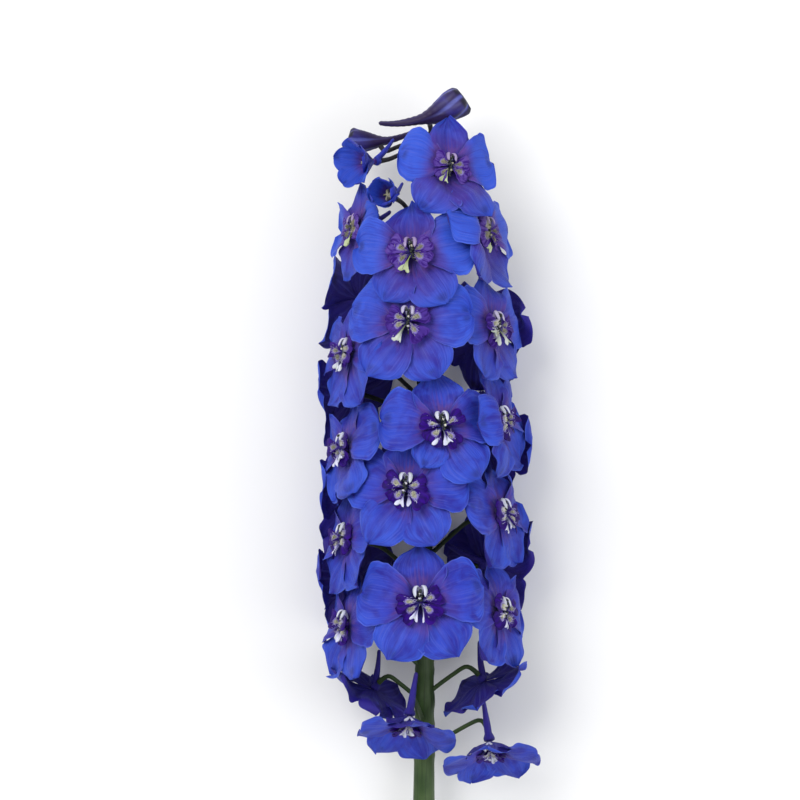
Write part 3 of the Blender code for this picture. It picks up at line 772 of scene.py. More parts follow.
@dataclass
class Sheet:
    """A thin petal: rows of middle points that end in a tip, with a front and a back."""

    middle: Points
    thickness: float
    along: Points
    across: Points

    def offsets(self) -> Points:
        """Works out half the thickness as vectors.

        Returns:
            The vectors, nearly 0 at the rim and the root.
        """
        down = np.gradient(self.middle, axis=0)
        over = np.gradient(self.middle, axis=1)
        over[-1] = over[-2]
        over[-2] = over[-3]
        normal = unit(np.cross(over, down))
        share = (1 - np.abs(self.across) ** 6)[None, :] * np.ones(len(self.along))[:, None]
        share[0] = 0
        return normal * (self.thickness / 2) * share[..., None]

    def front(self) -> tuple[Points, Points]:
        """Points of the front, and the normals there."""
        offsets = self.offsets()
        return self.middle + offsets, unit(offsets + 1e-9)

    def put(
        self, shape: Shape, finish: bpy.types.Material, growth: tuple[float, float, float]
    ) -> None:
        """Adds both sides to a shape, joined round the rim.

        Args:
            shape: What it goes into.
            finish: Its material.
            growth: Age, seed and kind, for the finish.
        """
        offsets = self.offsets()
        rows, columns = self.middle.shape[:2]
        grid = np.stack(np.meshgrid(self.along, self.across, indexing="ij"), axis=-1)
        mark = np.ones((rows, columns, 1))
        mark[0] = mark[:, 0] = mark[:, -1] = 0.5
        labels = np.concatenate((grid, mark), axis=-1)
        front = np.arange((rows - 1) * columns).reshape(rows - 1, columns)
        tip = front.size
        back = front.copy()
        inner = (rows - 2) * (columns - 2)
        back[1:, 1:-1] = tip + 1 + np.arange(inner).reshape(rows - 2, columns - 2)
        points = np.concatenate((
            (self.middle + offsets)[:-1].reshape(-1, 3),
            self.middle[-1, columns // 2][None],
            (self.middle - offsets)[1:-1, 1:-1].reshape(-1, 3),
        ))
        behind = labels[1:-1, 1:-1].reshape(-1, 3) * (1, 1, 0)
        petal = np.concatenate((labels[:-1].reshape(-1, 3), [(1.0, 0.0, 0.5)], behind))
        faces = []
        for side, turned in ((front, 1), (back, -1)):
            quads = np.stack((side[:-1, :-1], side[:-1, 1:], side[1:, 1:], side[1:, :-1]), -1)
            last = np.full(columns - 1, tip)
            fan = np.stack((side[-1, :-1], side[-1, 1:], last), -1)
            faces += [quads.reshape(-1, 4)[:, ::turned], fan[:, ::turned]]
        shape.add(points, faces, finish, petal, growth)


@dataclass
class Tube:
    """A round tube along a path, with rounded or flat ends."""

    path: Points
    radii: Points
    sides: int
    first_end: bool = True

    def axes(self) -> tuple[Points, Points]:
        """Carries two directions across the path along it without twist.

        Returns:
            The first and the second at each point.
        """
        along = unit(np.gradient(self.path, axis=0))
        hint = np.array((0.0, 0.0, 1.0)) if abs(along[0][2]) < 0.9 else np.array((1.0, 0.0, 0.0))
        across = unit(np.cross(along[0], hint))
        found = []
        for direction in along:
            across = unit(across - (across @ direction) * direction)
            found.append(across)
        first = np.array(found)
        return first, np.cross(along, first)

    def put(
        self,
        shape: Shape,
        finish: bpy.types.Material,
        growth: tuple[float, float, float],
        third: Points | float = 0.0,
    ) -> None:
        """Adds the tube to a shape.

        Args:
            shape: What it goes into.
            finish: Its material.
            growth: Three numbers for the finish.
            third: The third number at each point; the first two are share and turn.
        """
        first, second = self.axes()
        turns = turns_round(self.sides)
        radii = np.broadcast_to(np.asarray(self.radii, float).T, (self.sides, len(self.path))).T
        ring = np.cos(turns)[None, :, None] * first[:, None]
        ring = ring + np.sin(turns)[None, :, None] * second[:, None]
        points = self.path[:, None] + radii[..., None] * ring
        count, sides = points.shape[:2]
        shares = np.linspace(0, 1, count)[:, None] * np.ones(sides)
        around = np.broadcast_to(turns / (2 * math.pi), shares.shape)
        labels = np.stack((shares, around, np.broadcast_to(third, shares.shape)), -1)
        points, labels = points.reshape(-1, 3), labels.reshape(-1, 3)
        faces = [ring_quads(count, sides)]
        for row, flip in ((0, -1), (count - 1, 1))[not self.first_end:]:
            ring = row * sides + np.arange(sides)
            fan = np.stack((ring, np.roll(ring, -1), np.full(sides, len(points))), -1)
            faces.append(fan[:, ::flip])
            points = np.concatenate((points, self.path[row][None]))
            labels = np.concatenate((labels, labels[row * sides][None]))
        shape.add(points, faces, finish, labels, growth)


def smoothed(path: Points, passes: int) -> Points:
    """Eases the corners of a path and keeps its ends.

    Args:
        path: Its points.
        passes: How often it is eased.

    Returns:
        The new points.
    """
    path = path.copy()
    for _ in range(passes):
        path[1:-1] = (path[:-2] + 2 * path[1:-1] + path[2:]) / 4
    return path


def softened(grid: Points, passes: int) -> Points:
    """Blends the values on a grid with their neighbours.

    Args:
        grid: The values.
        passes: How often they are blended.

    Returns:
        The new values.
    """
    for _ in range(passes):
        for axis in (0, 1):
            last = grid.shape[axis] - 1
            low = grid.take(np.maximum(np.arange(last + 1) - 1, 0), axis)
            high = grid.take(np.minimum(np.arange(last + 1) + 1, last), axis)
            grid = (low + 2 * grid + high) / 4
    return grid


def rounded_rows(count: int, root: float) -> Points:
    """Places along a petal, from its root, closer together towards its tip, with the tip last."""
    share = np.linspace(0, 1, count)
    return root + (1 - root) * (1 - (1 - share) ** 1.9)


def rim_columns(count: int) -> Points:
    """Places across a petal, closer together towards both rims."""
    return np.sin(np.linspace(-1, 1, count) * math.pi / 2)


# How the spike grows and lies


@dataclass(frozen=True)
class Resting:
    """How things round the straight axis settle on the floor."""

    cut_end: float = -116 * MM
    top_node: float = 331.5 * MM
    sway: float = 1.5 * MM
    height: float = 35.0 * MM
    rise: float = 220 * MM
    give: float = 150 * MM
    cut_radius: float = 5.9 * MM
    cut_sides: int = 10
    middle: tuple[float, float] = (1.9 * MM, 123.4 * MM)

    def share_up(self, height: Points) -> Points:
        """Heights as shares of the stem, from its cut end."""
        return (height - self.cut_end) / (self.top_node - self.cut_end)

    def axis_height(self, height: Points) -> Points:
        """Finds how high over the floor the stem's middle lies.

        Args:
            height: Heights along the stem.

        Returns:
            The heights over the floor.
        """
        share = np.clip((height - self.cut_end) / self.rise, 0, 1)
        low = self.cut_radius * math.cos(math.pi / self.cut_sides)
        return low + (self.height - low) * share * share * (3 - 2 * share)

    def settled(self, points: Points) -> Points:
        """Moves points to where they lie, those underneath pressed together.

        Args:
            points: Points round the straight axis.

        Returns:
            The settled points.
        """
        x, y, z = np.moveaxis(np.asarray(points, float), -1, 0)
        below = np.minimum(z, 0)
        z = np.maximum(z, 0) + below / (1 - below / self.give)
        share = np.clip(self.share_up(y), 0, 1)
        return np.stack((x + self.sway * np.sin(math.pi * share), y, z + self.axis_height(y)), -1)

    def put_down(self, points: Points) -> Points:
        """Points round the straight axis, settled and in the frame's place."""
        return above_floor(self.settled(points) - np.array(self.middle + (0.0,)))


def above_floor(points: Points) -> Points:
    """Points of which those that would sink lie flat."""
    points[..., 2] = np.maximum(points[..., 2], 0.0)
    return points


REST = Resting()


@dataclass(frozen=True)
class PetalForm:
    """A petal's form; lengths are shares of its floret's length, angles are in degrees."""

    length: float
    half_width: float
    turn: float
    swell: float
    close: float
    leave: float
    end: float
    cup: float
    crease: float = 0.0
    layer: float = 0.0
    wave: float = 0.0
    twist: float = 0.0
    columns: int = 3

    def outline(self, share: Points) -> Points:
        """Finds its half width, from 0 at both ends to 1 at its widest.

        Args:
            share: Places along it.

        Returns:
            The widths there.
        """
        widest = self.swell / (self.swell + self.close)
        top = widest**self.swell * (1 - widest) ** self.close
        return share**self.swell * (1 - share) ** self.close / top

    def points(
        self,
        side: int,
        size: float,
        along: Points,
        across: Points,
        phase: float = 0.0,
        detail: "Detail | None" = None,
    ) -> Points:
        """Middle points in the flower's axes, in rows that end in the tip.

        Args:
            side: 1, or -1 for the mirrored petal of a pair.
            size: The flower's size times the petal's own.
            along: Places along it, the last of them 1.
            across: Places across it, from -1 to 1.
            phase: Shifts its margin's wave.
            detail: Small seeded irregularities, or none.

        Returns:
            The points, clockwise round the flower.
        """
        along, across = along[:, None], across[None, :]
        length = self.length * size * FLORET_LENGTH
        width = self.half_width * size * FLORET_LENGTH * self.outline(np.minimum(along, 0.9999))
        width[-1] = 0
        leave, end = math.radians(self.leave), math.radians(self.end)
        angle = leave + (end - leave) * along
        out = length * (np.sin(angle) - math.sin(leave)) / (end - leave)
        lift = length * (math.cos(leave) - np.cos(angle)) / (end - leave)
        soft = 0.0 if detail is None else detail.soft
        bulge = self.cup * width * across**2 + self.twist * across * along
        rib = 1 - np.sqrt(across**2 + soft)
        bulge = bulge + self.crease * rib * np.sin(math.pi * along)
        bulge = bulge + self.wave * np.sin(5.5 * along + phase) * across**3 * along
        sideways = width * across
        if detail is not None:
            bulge = bulge + detail.bulge(along, across)
            sideways = sideways * detail.margin(along, across)
            out = out + detail.tip(along, sideways)
        radial = out - np.sin(angle) * bulge
        z = lift + np.cos(angle) * bulge + self.layer * np.sin(math.pi * along) ** 0.5
        sideways = sideways * side
        turn = math.radians(self.turn) * side
        x = radial * math.sin(turn) + sideways * math.cos(turn)
        y = radial * math.cos(turn) - sideways * math.sin(turn)
        return np.stack((x, y, z), axis=-1)[:, ::side]


@dataclass
class Detail:
    """Small irregularities of one petal: undulation, vein ripples, ragged margin and tip."""

    seed: int
    undulation: float = 1.0 * MM
    ripple: float = 0.24 * MM
    ruffle: float = 1.0 * MM
    ragged: float = 0.022
    notch: float = 0.0
    point: float = 0.0
    soft: float = 0.02

    def __post_init__(self) -> None:
        """Draws the random numbers that its waves use."""
        self.draw = np.random.default_rng(self.seed).uniform(-1, 1, 24)

    def bulge(self, along: Points, across: Points) -> Points:
        """How far it stands out of its smooth form.

        Args:
            along: Places along it.
            across: Places across it.

        Returns:
            The heights.
        """
        d = self.draw
        waves = np.sin(2.6 * across + 3.1 * along + 3 * d[0])
        waves = waves + 0.7 * np.sin(3.7 * across * (1 + 0.3 * d[1]) - 4.4 * along + 3 * d[2])
        waves = waves + 0.5 * np.sin(6.2 * along + 2.2 * across * d[3] + 3 * d[4])
        grow = np.clip((along - 0.12) / 0.4, 0, 1)
        ripples = np.sin(13 * across + 3 * d[5]) + 0.6 * np.sin(23 * across + 3 * d[6])
        rim = np.abs(across) ** 5 * np.sin(11 * along + 3 * d[7] + 1.5 * np.sign(across) * d[8])
        rim = rim + 0.5 * np.abs(across) ** 7 * np.sin(23 * along + 3 * d[9])
        ripples = np.sin(math.pi * np.clip(along, 0, 1)) ** 0.6 * (self.ripple * ripples)
        return grow * self.undulation * waves + ripples + grow * self.ruffle * rim

    def margin(self, along: Points, across: Points) -> Points:
        """The factor by which its outline is uneven.

        Args:
            along: Places along it.
            across: Places across it.

        Returns:
            The factors.
        """
        d = self.draw
        uneven = np.sin(9 * along + 3 * d[10] + 2 * across * d[11])
        uneven = uneven + 0.6 * np.sin(21 * along + 3 * d[12] * np.sign(across))
        uneven = uneven + 0.45 * np.sin(43 * along + 3 * d[13]) * np.abs(across) ** 3
        return 1 + self.ragged * uneven * np.clip(along * 2, 0, 1)

    def tip(self, along: Points, sideways: Points) -> Points:
        """How far its tip is drawn out in a point or in by a notch.

        Args:
            along: Places along it.
            sideways: Distances from its middle line.

        Returns:
            The distances.
        """
        near = np.clip((along - 0.80) / 0.20, 0, 1) ** 2
        off = sideways - 1.2 * MM * self.draw[14]
        drawn = self.point * np.exp(-np.abs(off) / (2.6 * MM))
        cut = self.notch * np.exp(-((off / (1.1 * MM)) ** 2))
        return near * (drawn - cut)


FLORET_LENGTH = 31.5 * MM
FACE_RADIUS = 42 * MM
GAP = 0.3 * MM
THROAT_REAR = -5 * MM
BEE_DEPTH = 1.9 * MM
STEEPEST, LEAST_BEND = 84, 20
SEPAL_THICK = 0.5 * MM
FINE_ROWS, FINE_COLUMNS = 30, 25
PETAL_ROOT, SMALL_ROOT = 0.04, 0.05
SEED_STEP = 0.137

UPPER = PetalForm(0.92, 0.40, 0, 1.00, 0.75, 16, -22, 0.10, -0.6 * MM, -0.6 * MM, 1.0 * MM)
LATERAL = PetalForm(1.0, 0.49, 77, 1.10, 0.50, 14, -27, 0.06, 0, 1.3 * MM, 1.0 * MM, columns=5)
LOWER = PetalForm(1.0, 0.41, 149, 1.05, 0.70, 10, -14, 0.05, -0.8 * MM, -0.6 * MM, 0.9 * MM)
SEPALS = (
    (UPPER, Side.RIGHT, Kind.UPPER),
    (LATERAL, Side.RIGHT, Kind.LATERAL),
    (LOWER, Side.RIGHT, Kind.LOWER),
    (LOWER, Side.LEFT, Kind.LOWER),
    (LATERAL, Side.LEFT, Kind.LATERAL),
)
SEPAL_ROWS = (0.34, 0.62, 0.87, 1.0)
LOBE = PetalForm(0.42, 0.160, 78, 1.9, 0.40, 56, -20, 0.18)
LOW_LOBE = replace(LOBE, turn=132, leave=46, end=-26)
WHITE = PetalForm(0.41, 0.084, 180, 3.4, 0.24, 42, -4, 0.22)
CUP = replace(LATERAL, half_width=0.33, leave=50, end=108, cup=0.30, layer=0, wave=0,
              twist=1.0 * MM, columns=3)


class Axes:
    """A flower's own axes: z out of its face, y towards its upper sepal."""

    def __init__(self, place: Points, facing: Sequence[float], roll: float) -> None:
        """Sets the axes.

        Args:
            place: The flower's centre.
            facing: The direction it faces.
            roll: Its turn about that, in radians.
        """
        self.place = np.asarray(place, float)
        self.z = unit(facing)
        self.y = unit(np.array((0.0, 1.0, 0.0)) - self.z[1] * self.z)
        self.x = np.cross(self.y, self.z)
        self.x, self.y = (
            math.cos(roll) * self.x + math.sin(roll) * self.y,
            math.cos(roll) * self.y - math.sin(roll) * self.x,
        )

    def at(self, points: Points) -> Points:
        """Points given in these axes, round the straight axis."""
        return self.place + np.asarray(points, float) @ np.array((self.x, self.y, self.z))


class Relief:
    """How far out the sepals laid so far reach, on a grid of turn and height."""

    cell = 2 * MM
    highest = 380 * MM
    slope = 0.4
    flat = 3 * MM
    starts = 12 * MM
    layer_gap = 2.5 * MM

    def __init__(self, reach: Points | None = None) -> None:
        """Starts it.

        Args:
            reach: A grid of distances, or none to start bare.
        """
        self.turns = int(round(2 * math.pi * FACE_RADIUS / self.cell))
        self.heights = int(round(self.highest / self.cell))
        self.reach = np.zeros((self.turns, self.heights)) if reach is None else reach
        self.spread = self.cones()

    def cones(self) -> Points:
        """Widens each point of the grid into a cone with a flat top.

        Returns:
            The new grid.
        """
        spread = self.reach.copy()
        steps = int(self.starts / self.cell)
        for i in range(-steps, steps + 1):
            for j in range(-steps, steps + 1):
                far = math.hypot(i, j) * self.cell
                if far <= self.starts:
                    moved = np.roll(self.reach, (i, j), (0, 1))
                    np.maximum(spread, moved - self.slope * max(far - self.flat, 0), out=spread)
        return spread

    def cells(self, points: Points) -> tuple[Points, Points]:
        """Finds the cells in which points are.

        Args:
            points: The points.

        Returns:
            The places of the cells round and up the grid.
        """
        turn = np.arctan2(points[..., 0], points[..., 2])
        along = np.floor(turn / (2 * math.pi) * self.turns).astype(int) % self.turns
        up = np.floor(points[..., 1] / self.cell).astype(int)
        return along, np.clip(up, 0, self.heights - 1)

    def with_laid(self, points: Points) -> "Relief":
        """Adds points to what is laid.

        Args:
            points: Points of the florets laid last.

        Returns:
            A new relief that holds them too.
        """
        reach = self.reach.copy()
        np.maximum.at(reach, self.cells(points), np.hypot(points[:, 0], points[:, 2]))
        return Relief(reach)

    def least(self, points: Points) -> Points:
        """The least distance out that clears what is laid, or 0 where nothing is."""
        low = self.spread[self.cells(points)]
        return np.where(low > FACE_RADIUS / 2, low + self.layer_gap, 0)

    def push(self, points: Points, layer: float) -> Points:
        """How far points have to move out from the axis, as vectors.

        Args:
            points: Points of a sepal.
            layer: What its own layer adds.

        Returns:
            The vectors.
        """
        out = np.hypot(points[..., 0], points[..., 2])
        push = np.maximum(self.least(points) + layer - out, 0)
        share = push / np.maximum(out, MM)
        return points * np.stack((share, np.zeros_like(share), share), axis=-1)


def lean_out(end: Points) -> Points:
    """The way in which a pedicel leaves the stem: outwards and up."""
    return unit(np.array((end[0], 0.0, end[2]))) * 0.75 + np.array((0.0, 0.66, 0.0))


def bow(start: Points, bend: Points, end: Points, count: int) -> Points:
    """Points of an even curve that heads for a bend between its ends."""
    shares = np.linspace(0, 1, count)[:, None]
    return start * (1 - shares) ** 2 + 2 * bend * shares * (1 - shares) + end * shares**2


def bent(start: Points, lean: Points, end: Points, square: Points, count: int = 3) -> Points:
    """Points of a curve that first leans one way and ends square to a face.

    Args:
        start: Where it starts.
        lean: The way it leaves.
        end: Where it ends.
        square: The face's direction.
        count: Points before the last.

    Returns:
        The points.
    """
    reach = np.linalg.norm(end - start)
    last = end - 0.26 * reach * unit(square)
    bend = start + 0.42 * reach * unit(lean)
    return np.concatenate((bow(start, bend, last, count), [end]))


def dense(path: Points, count: int = 9) -> Points:
    """A path at evenly spread places of its points."""
    shares = np.linspace(0, len(path) - 1, count)
    return np.stack([np.interp(shares, range(len(path)), path[:, k]) for k in range(3)], axis=-1)


class Flower:
    """What open and half-open florets share: axes, spur and pedicel."""

    spur_length = 22 * MM
    spur_radii = ((0.0, 2.2 * MM), (0.33, 2.1 * MM), (0.68, 1.5 * MM), (0.94, 1.2 * MM))
    spur_sides = 16
    throat_sides = 20
    throat = (  # depth and radius, in millimetres
        (0.2, 0.2), (-0.2, 1.9), (-0.9, 3.2), (-1.8, 3.3), (-2.9, 3.0), (-4.0, 2.6),
        (-4.7, 2.3), (-5.0, 1.6), (-5.0, 0.3),
    )
    joint_gap = 1.5 * GAP

    def __init__(self, axes: Axes, size: float, node_height: float) -> None:
        """Sets where it is.

        Args:
            axes: Its axes.
            size: Its size, 1 for a full floret.
            node_height: Where its pedicel leaves the stem.
        """
        self.axes, self.size, self.node_height = axes, size, node_height
        self.spur_turn, self.spur_scale = 0.0, 1.0

    def down(self, points: Points) -> Points:
        """Points in the flower's axes, settled in place."""
        return REST.put_down(self.axes.at(points))

    def spur_path(self, shares: Points = np.array((0.0, 0.33, 0.68, 1.0))) -> Points:
        """Finds the spur's middle line.

        Args:
            shares: Shares of its length.

        Returns:
            The points there, round the straight axis.
        """
        length = self.spur_length * self.size * self.spur_scale
        back = 2.4 * MM * self.size + 0.86 * shares * length
        up = 1.9 * MM * self.size + length * (0.42 * shares + 0.20 * shares**2)
        turn = self.spur_turn
        return self.axes.at(np.stack((up * math.sin(turn), up * math.cos(turn), -back), axis=-1))

    def pedicel_path(self, count: int = 3) -> Points:
        """Finds the pedicel's middle line, from inside the stem to just behind the throat.

        Args:
            count: Points before the last.

        Returns:
            The points.
        """
        end = self.axes.at((0.0, 0.0, THROAT_REAR * self.size - self.joint_gap))
        start = np.array((0.0, self.node_height, 0.0))
        return bent(start, lean_out(end), end, self.axes.z, count)

    def spur(self) -> Tube:
        """Makes the tapering, grooved spur with its rounded end.

        Returns:
            The tube, in place.
        """
        shares = np.concatenate((np.linspace(-0.06, 0.94, 22), (0.965, 0.985, 1.0)))
        places, radii = zip(*self.spur_radii)
        radius = smoothed((np.interp(shares, places, radii) * self.size)[:, None], 3)[:, 0]
        radius[-3:] *= (0.9, 0.65, 0.25)
        turns = turns_round(self.spur_sides)
        grooves = 1 + 0.05 * np.cos(5 * turns)[None, :] + 0.03 * np.sin(2 * turns)[None, :]
        line = REST.put_down(self.spur_path(shares))
        return Tube(line, radius[:, None] * grooves, self.spur_sides)

    def put_behind(
        self, shape: Shape, finish: bpy.types.Material, age: float, seed: float
    ) -> None:
        """Adds the throat, in which sepals, spur and pedicel meet, and the spur.

        Args:
            shape: What they go into.
            finish: Their material.
            age: For the finish.
            seed: For the finish.
        """
        profile = np.array(self.throat) * MM * self.size
        depth = profile[:, 0].copy()
        depth[1:-1] += np.linspace(1e-6, 2e-6, len(depth) - 2)
        depth[-1] -= 1e-5
        count, sides, turns = len(profile), self.throat_sides, turns_round(self.throat_sides)
        out = profile[:, 1:] * (1 + 0.05 * np.cos(5 * turns)[None, :])
        points = (out * np.cos(turns), out * np.sin(turns), depth[:, None] + 0 * turns)
        labels = np.zeros((count * sides, 3)) + (0.2, 0.0, 0.0)
        labels[:, 1] = np.tile(np.cos(turns), count)
        first = np.arange(sides)[None]
        faces = [ring_quads(count, sides, -1), first, first[:, ::-1] + (count - 1) * sides]
        points = self.down(np.stack(points, -1).reshape(-1, 3))
        shape.add(points, faces, finish, labels, (age, seed, 0.5))
        self.spur().put(shape, finish, (age, seed, 0.0))


class Floret(Flower):
    """An open floret: where it is, the sizes that its room allows it, and its petals."""

    centre_room = 12.6 * MM
    shoulder_room = 9 * MM
    shortening = 0.965
    most_shortenings = 14
    pedicel_rise = 26 * MM
    bee_reach = 8.5 * MM
    youngest = 300 * MM
    ageing = 230 * MM
    fine_width = 1.08
    taper = {Kind.UPPER: 1.15, Kind.LATERAL: 0.80, Kind.LOWER: 0.80}
    tip_reach = {Kind.UPPER: 3.6 * MM, Kind.LATERAL: 0.4 * MM, Kind.LOWER: 1.9 * MM}
    number = 0

    def __init__(
        self,
        turn: float,
        height: float,
        out: float,
        tilt: float,
        roll: float,
        size: float,
        lift: float = 0.0,
    ) -> None:
        """Places it round the straight axis.

        Args:
            turn: Degrees round the axis, 0 facing up from the floor.
            height: Height along it.
            out: Distance out.
            tilt: Upward tilt in degrees.
            roll: Turn about its own axis in degrees.
            size: Its size.
            lift: How much higher it ranks when florets overlap.
        """
        self.turn, self.height, self.lift = math.radians(turn), height, lift
        self.tilt, self.roll, self.size = math.radians(tilt), roll, size
        self.phase = 1.7 * turn + 40 * height / FLORET_LENGTH
        self.scales = [1.0] * len(SEPALS)
        self.spur_turn, self.spur_scale = 0.0, 1.0
        self.fold = 0.0
        self.relief: Relief | None = None
        self.set_out(out)

    def set_out(self, out: float) -> None:
        """Moves it.

        Args:
            out: Its distance out from the axis.
        """
        self.out = out
        outward = np.array((math.sin(self.turn), 0.0, math.cos(self.turn)))
        facing = math.cos(self.tilt) * outward
        facing[1] = math.sin(self.tilt)
        place = np.array((out * math.sin(self.turn), self.height, out * math.cos(self.turn)))
        self.axes = Axes(place, facing, math.radians(self.roll))
        self.node_height = self.height - self.pedicel_rise * self.size

    def downward(self) -> float:
        """How much it faces the floor, from -1 to 1."""
        return -math.cos(self.turn)

    def flat(self, x: float = 0.0, y: float = 0.0) -> Points:
        """Finds a place on its face.

        Args:
            x: How far to its right.
            y: How far towards its upper sepal.

        Returns:
            The distance round the axis and the height along it.
        """
        turn = math.radians(self.roll)
        right = math.cos(turn) * x - math.sin(turn) * y
        up = math.sin(turn) * x + math.cos(turn) * y
        return np.array((self.turn * FACE_RADIUS + right, self.height + up))

    def share_room(self, others: Sequence[Points]) -> None:
        """Shortens each sepal whose tip or shoulders would cover a neighbour's centre.

        Args:
            others: The centres of the neighbours, as flat() gives them.
        """
        for k, (form, side, _) in enumerate(SEPALS):
            turn = math.radians(form.turn) * side.value
            along = np.array((math.sin(turn), math.cos(turn)))
            across = np.array((math.cos(turn), -math.sin(turn)))
            for _ in range(self.most_shortenings):
                length = form.length * self.size * FLORET_LENGTH * self.scales[k]
                half = form.half_width * self.size * FLORET_LENGTH * self.scales[k]
                marks = [(along * length, self.centre_room)]
                marks += [
                    (along * length * share + across * half * s, self.shoulder_room)
                    for share in (0.6, 0.85)
                    for s in (-0.9, 0, 0.9)
                ]
                near = any(
                    np.linalg.norm(self.flat(*mark) - other) < room
                    for mark, room in marks
                    for other in others
                )
                if not near:
                    break
                self.scales[k] *= self.shortening

    def sepal(
        self, k: int, along: Points, across: Points, detail: Detail | None = None
    ) -> Points:
        """Finds a sepal's middle points before it is draped over its neighbours.

        Args:
            k: Which sepal.
            along: Places along it.
            across: Places across it.
            detail: Its irregularities; with them it is the fine sepal, a little fuller.

        Returns:
            The points round the straight axis.
        """
        form, side, kind = SEPALS[k]
        form = replace(form, leave=form.leave + self.fold, end=form.end + self.fold)
        if detail is not None:
            width, close = form.half_width * self.fine_width, form.close * self.taper[kind]
            form = replace(form, half_width=width, close=close)
        scale = self.size * self.scales[k]
        return self.axes.at(
            form.points(side.value, scale, along, across, self.phase + 2 * k, detail)
        )

    def laid_points(self) -> Points:
        """Covers all sepals with points close together, for the florets laid next.

        Returns:
            The points, draped.
        """
        along = np.array([0.05 + 0.93 * k / 14 for k in range(14)] + [1.0])
        across = np.linspace(-1, 1, 9)
        share = np.clip((along - 0.3) / 0.25, 0, 1)[:, None, None]
        found = []
        for k, (form, _, _) in enumerate(SEPALS):
            points = self.sepal(k, along, across)
            if self.relief is not None:
                points = points + share * self.relief.push(points, max(form.layer, 0))
            found.append(points.reshape(-1, 3))
        return np.concatenate(found)

    def draped(self, k: int, along: Points, across: Points, detail: Detail) -> Points:
        """Fine middle points of a sepal, draped as its solid is but smoothly.

        Args:
            k: Which sepal.
            along: Places along it.
            across: Places across it.
            detail: Its irregularities.

        Returns:
            The points round the straight axis.
        """
        form = SEPALS[k][0]
        fine = self.sepal(k, along, across, detail)
        if self.relief is None:
            return fine
        rows, columns = np.array(SEPAL_ROWS), np.linspace(-1, 1, form.columns)
        push = self.relief.push(self.sepal(k, rows, columns), max(form.layer, 0))
        over = np.stack([
            [np.interp(across, columns, push[i, :, axis]) for axis in range(3)]
            for i in range(len(rows))
        ])
        grid = np.stack([
            [np.interp(along, rows, over[:, axis, j]) for j in range(len(across))]
            for axis in range(3)
        ])
        grid = softened(np.moveaxis(grid, (0, 1, 2), (2, 1, 0)), 8)
        share = np.clip((along - 0.27) / 0.30, 0, 1)
        share = (share * share * (3 - 2 * share))[:, None, None]
        return fine + share * grid

    def age(self) -> float:
        """0 for the youngest florets at the top, 1 for the oldest at the bottom."""
        return float(np.clip((self.youngest - self.height) / self.ageing, 0, 1))

    def details(self, k: int) -> Detail:
        """Draws the irregularities of a sepal.

        Args:
            k: Which sepal.

        Returns:
            The irregularities.
        """
        seed = 1000 + 10 * self.number + k
        draw = np.random.default_rng(seed).uniform(0, 1, 3)
        notch = 1.2 * MM * (draw[0] > 0.55) * draw[1]
        point = self.tip_reach[SEPALS[k][2]] * (0.35 + 0.65 * draw[2])
        return Detail(seed, notch=notch, point=point, ragged=0.018 + 0.012 * draw[0])

    def sepal_object(self, finishes: Finishes) -> bpy.types.Object:
        """Makes the five sepals with their throat and spur.

        Args:
            finishes: The materials.

        Returns:
            One object.
        """
        shape = Shape()
        along, across = rounded_rows(FINE_ROWS, PETAL_ROOT), rim_columns(FINE_COLUMNS)
        for k, (_, _, kind) in enumerate(SEPALS):
            points = REST.put_down(self.draped(k, along, across, self.details(k)))
            seed = (self.number * SEED_STEP + k * 0.23) % 1
            sheet = Sheet(points, SEPAL_THICK, along, across)
            sheet.put(shape, finishes.sepal, (self.age(), seed, kind.value))
        self.put_behind(shape, finishes.sepal, self.age(), self.number * SEED_STEP % 1)
        return shape.object(f"floret_{self.number:02d}_fine_sepals")

    def bee_tip(self) -> Points:
        """The point that the bee reaches."""
        return self.axes.at((0.0, 0.0, self.bee_reach * self.size))


class Nodding(Floret):
    """An old floret that hangs free below the rest."""

    drop = 8 * MM

    def __init__(
        self,
        place: Sequence[float],
        facing: Sequence[float],
        roll: float,
        size: float,
        fold: float,
    ) -> None:
        """Places it freely.

        Args:
            place: Across, along and out from the axis.
            facing: The direction it faces.
            roll: Turn about its own axis in degrees.
            size: Its size.
            fold: How far its sepals fold forward, in degrees.
        """
        turn = math.degrees(math.atan2(place[0], place[2]))
        super().__init__(turn, place[1], math.hypot(place[0], place[2]), 0, roll, size)
        self.axes = Axes(np.array(place), facing, math.radians(roll))
        self.node_height = self.height - self.drop
        self.fold = fold


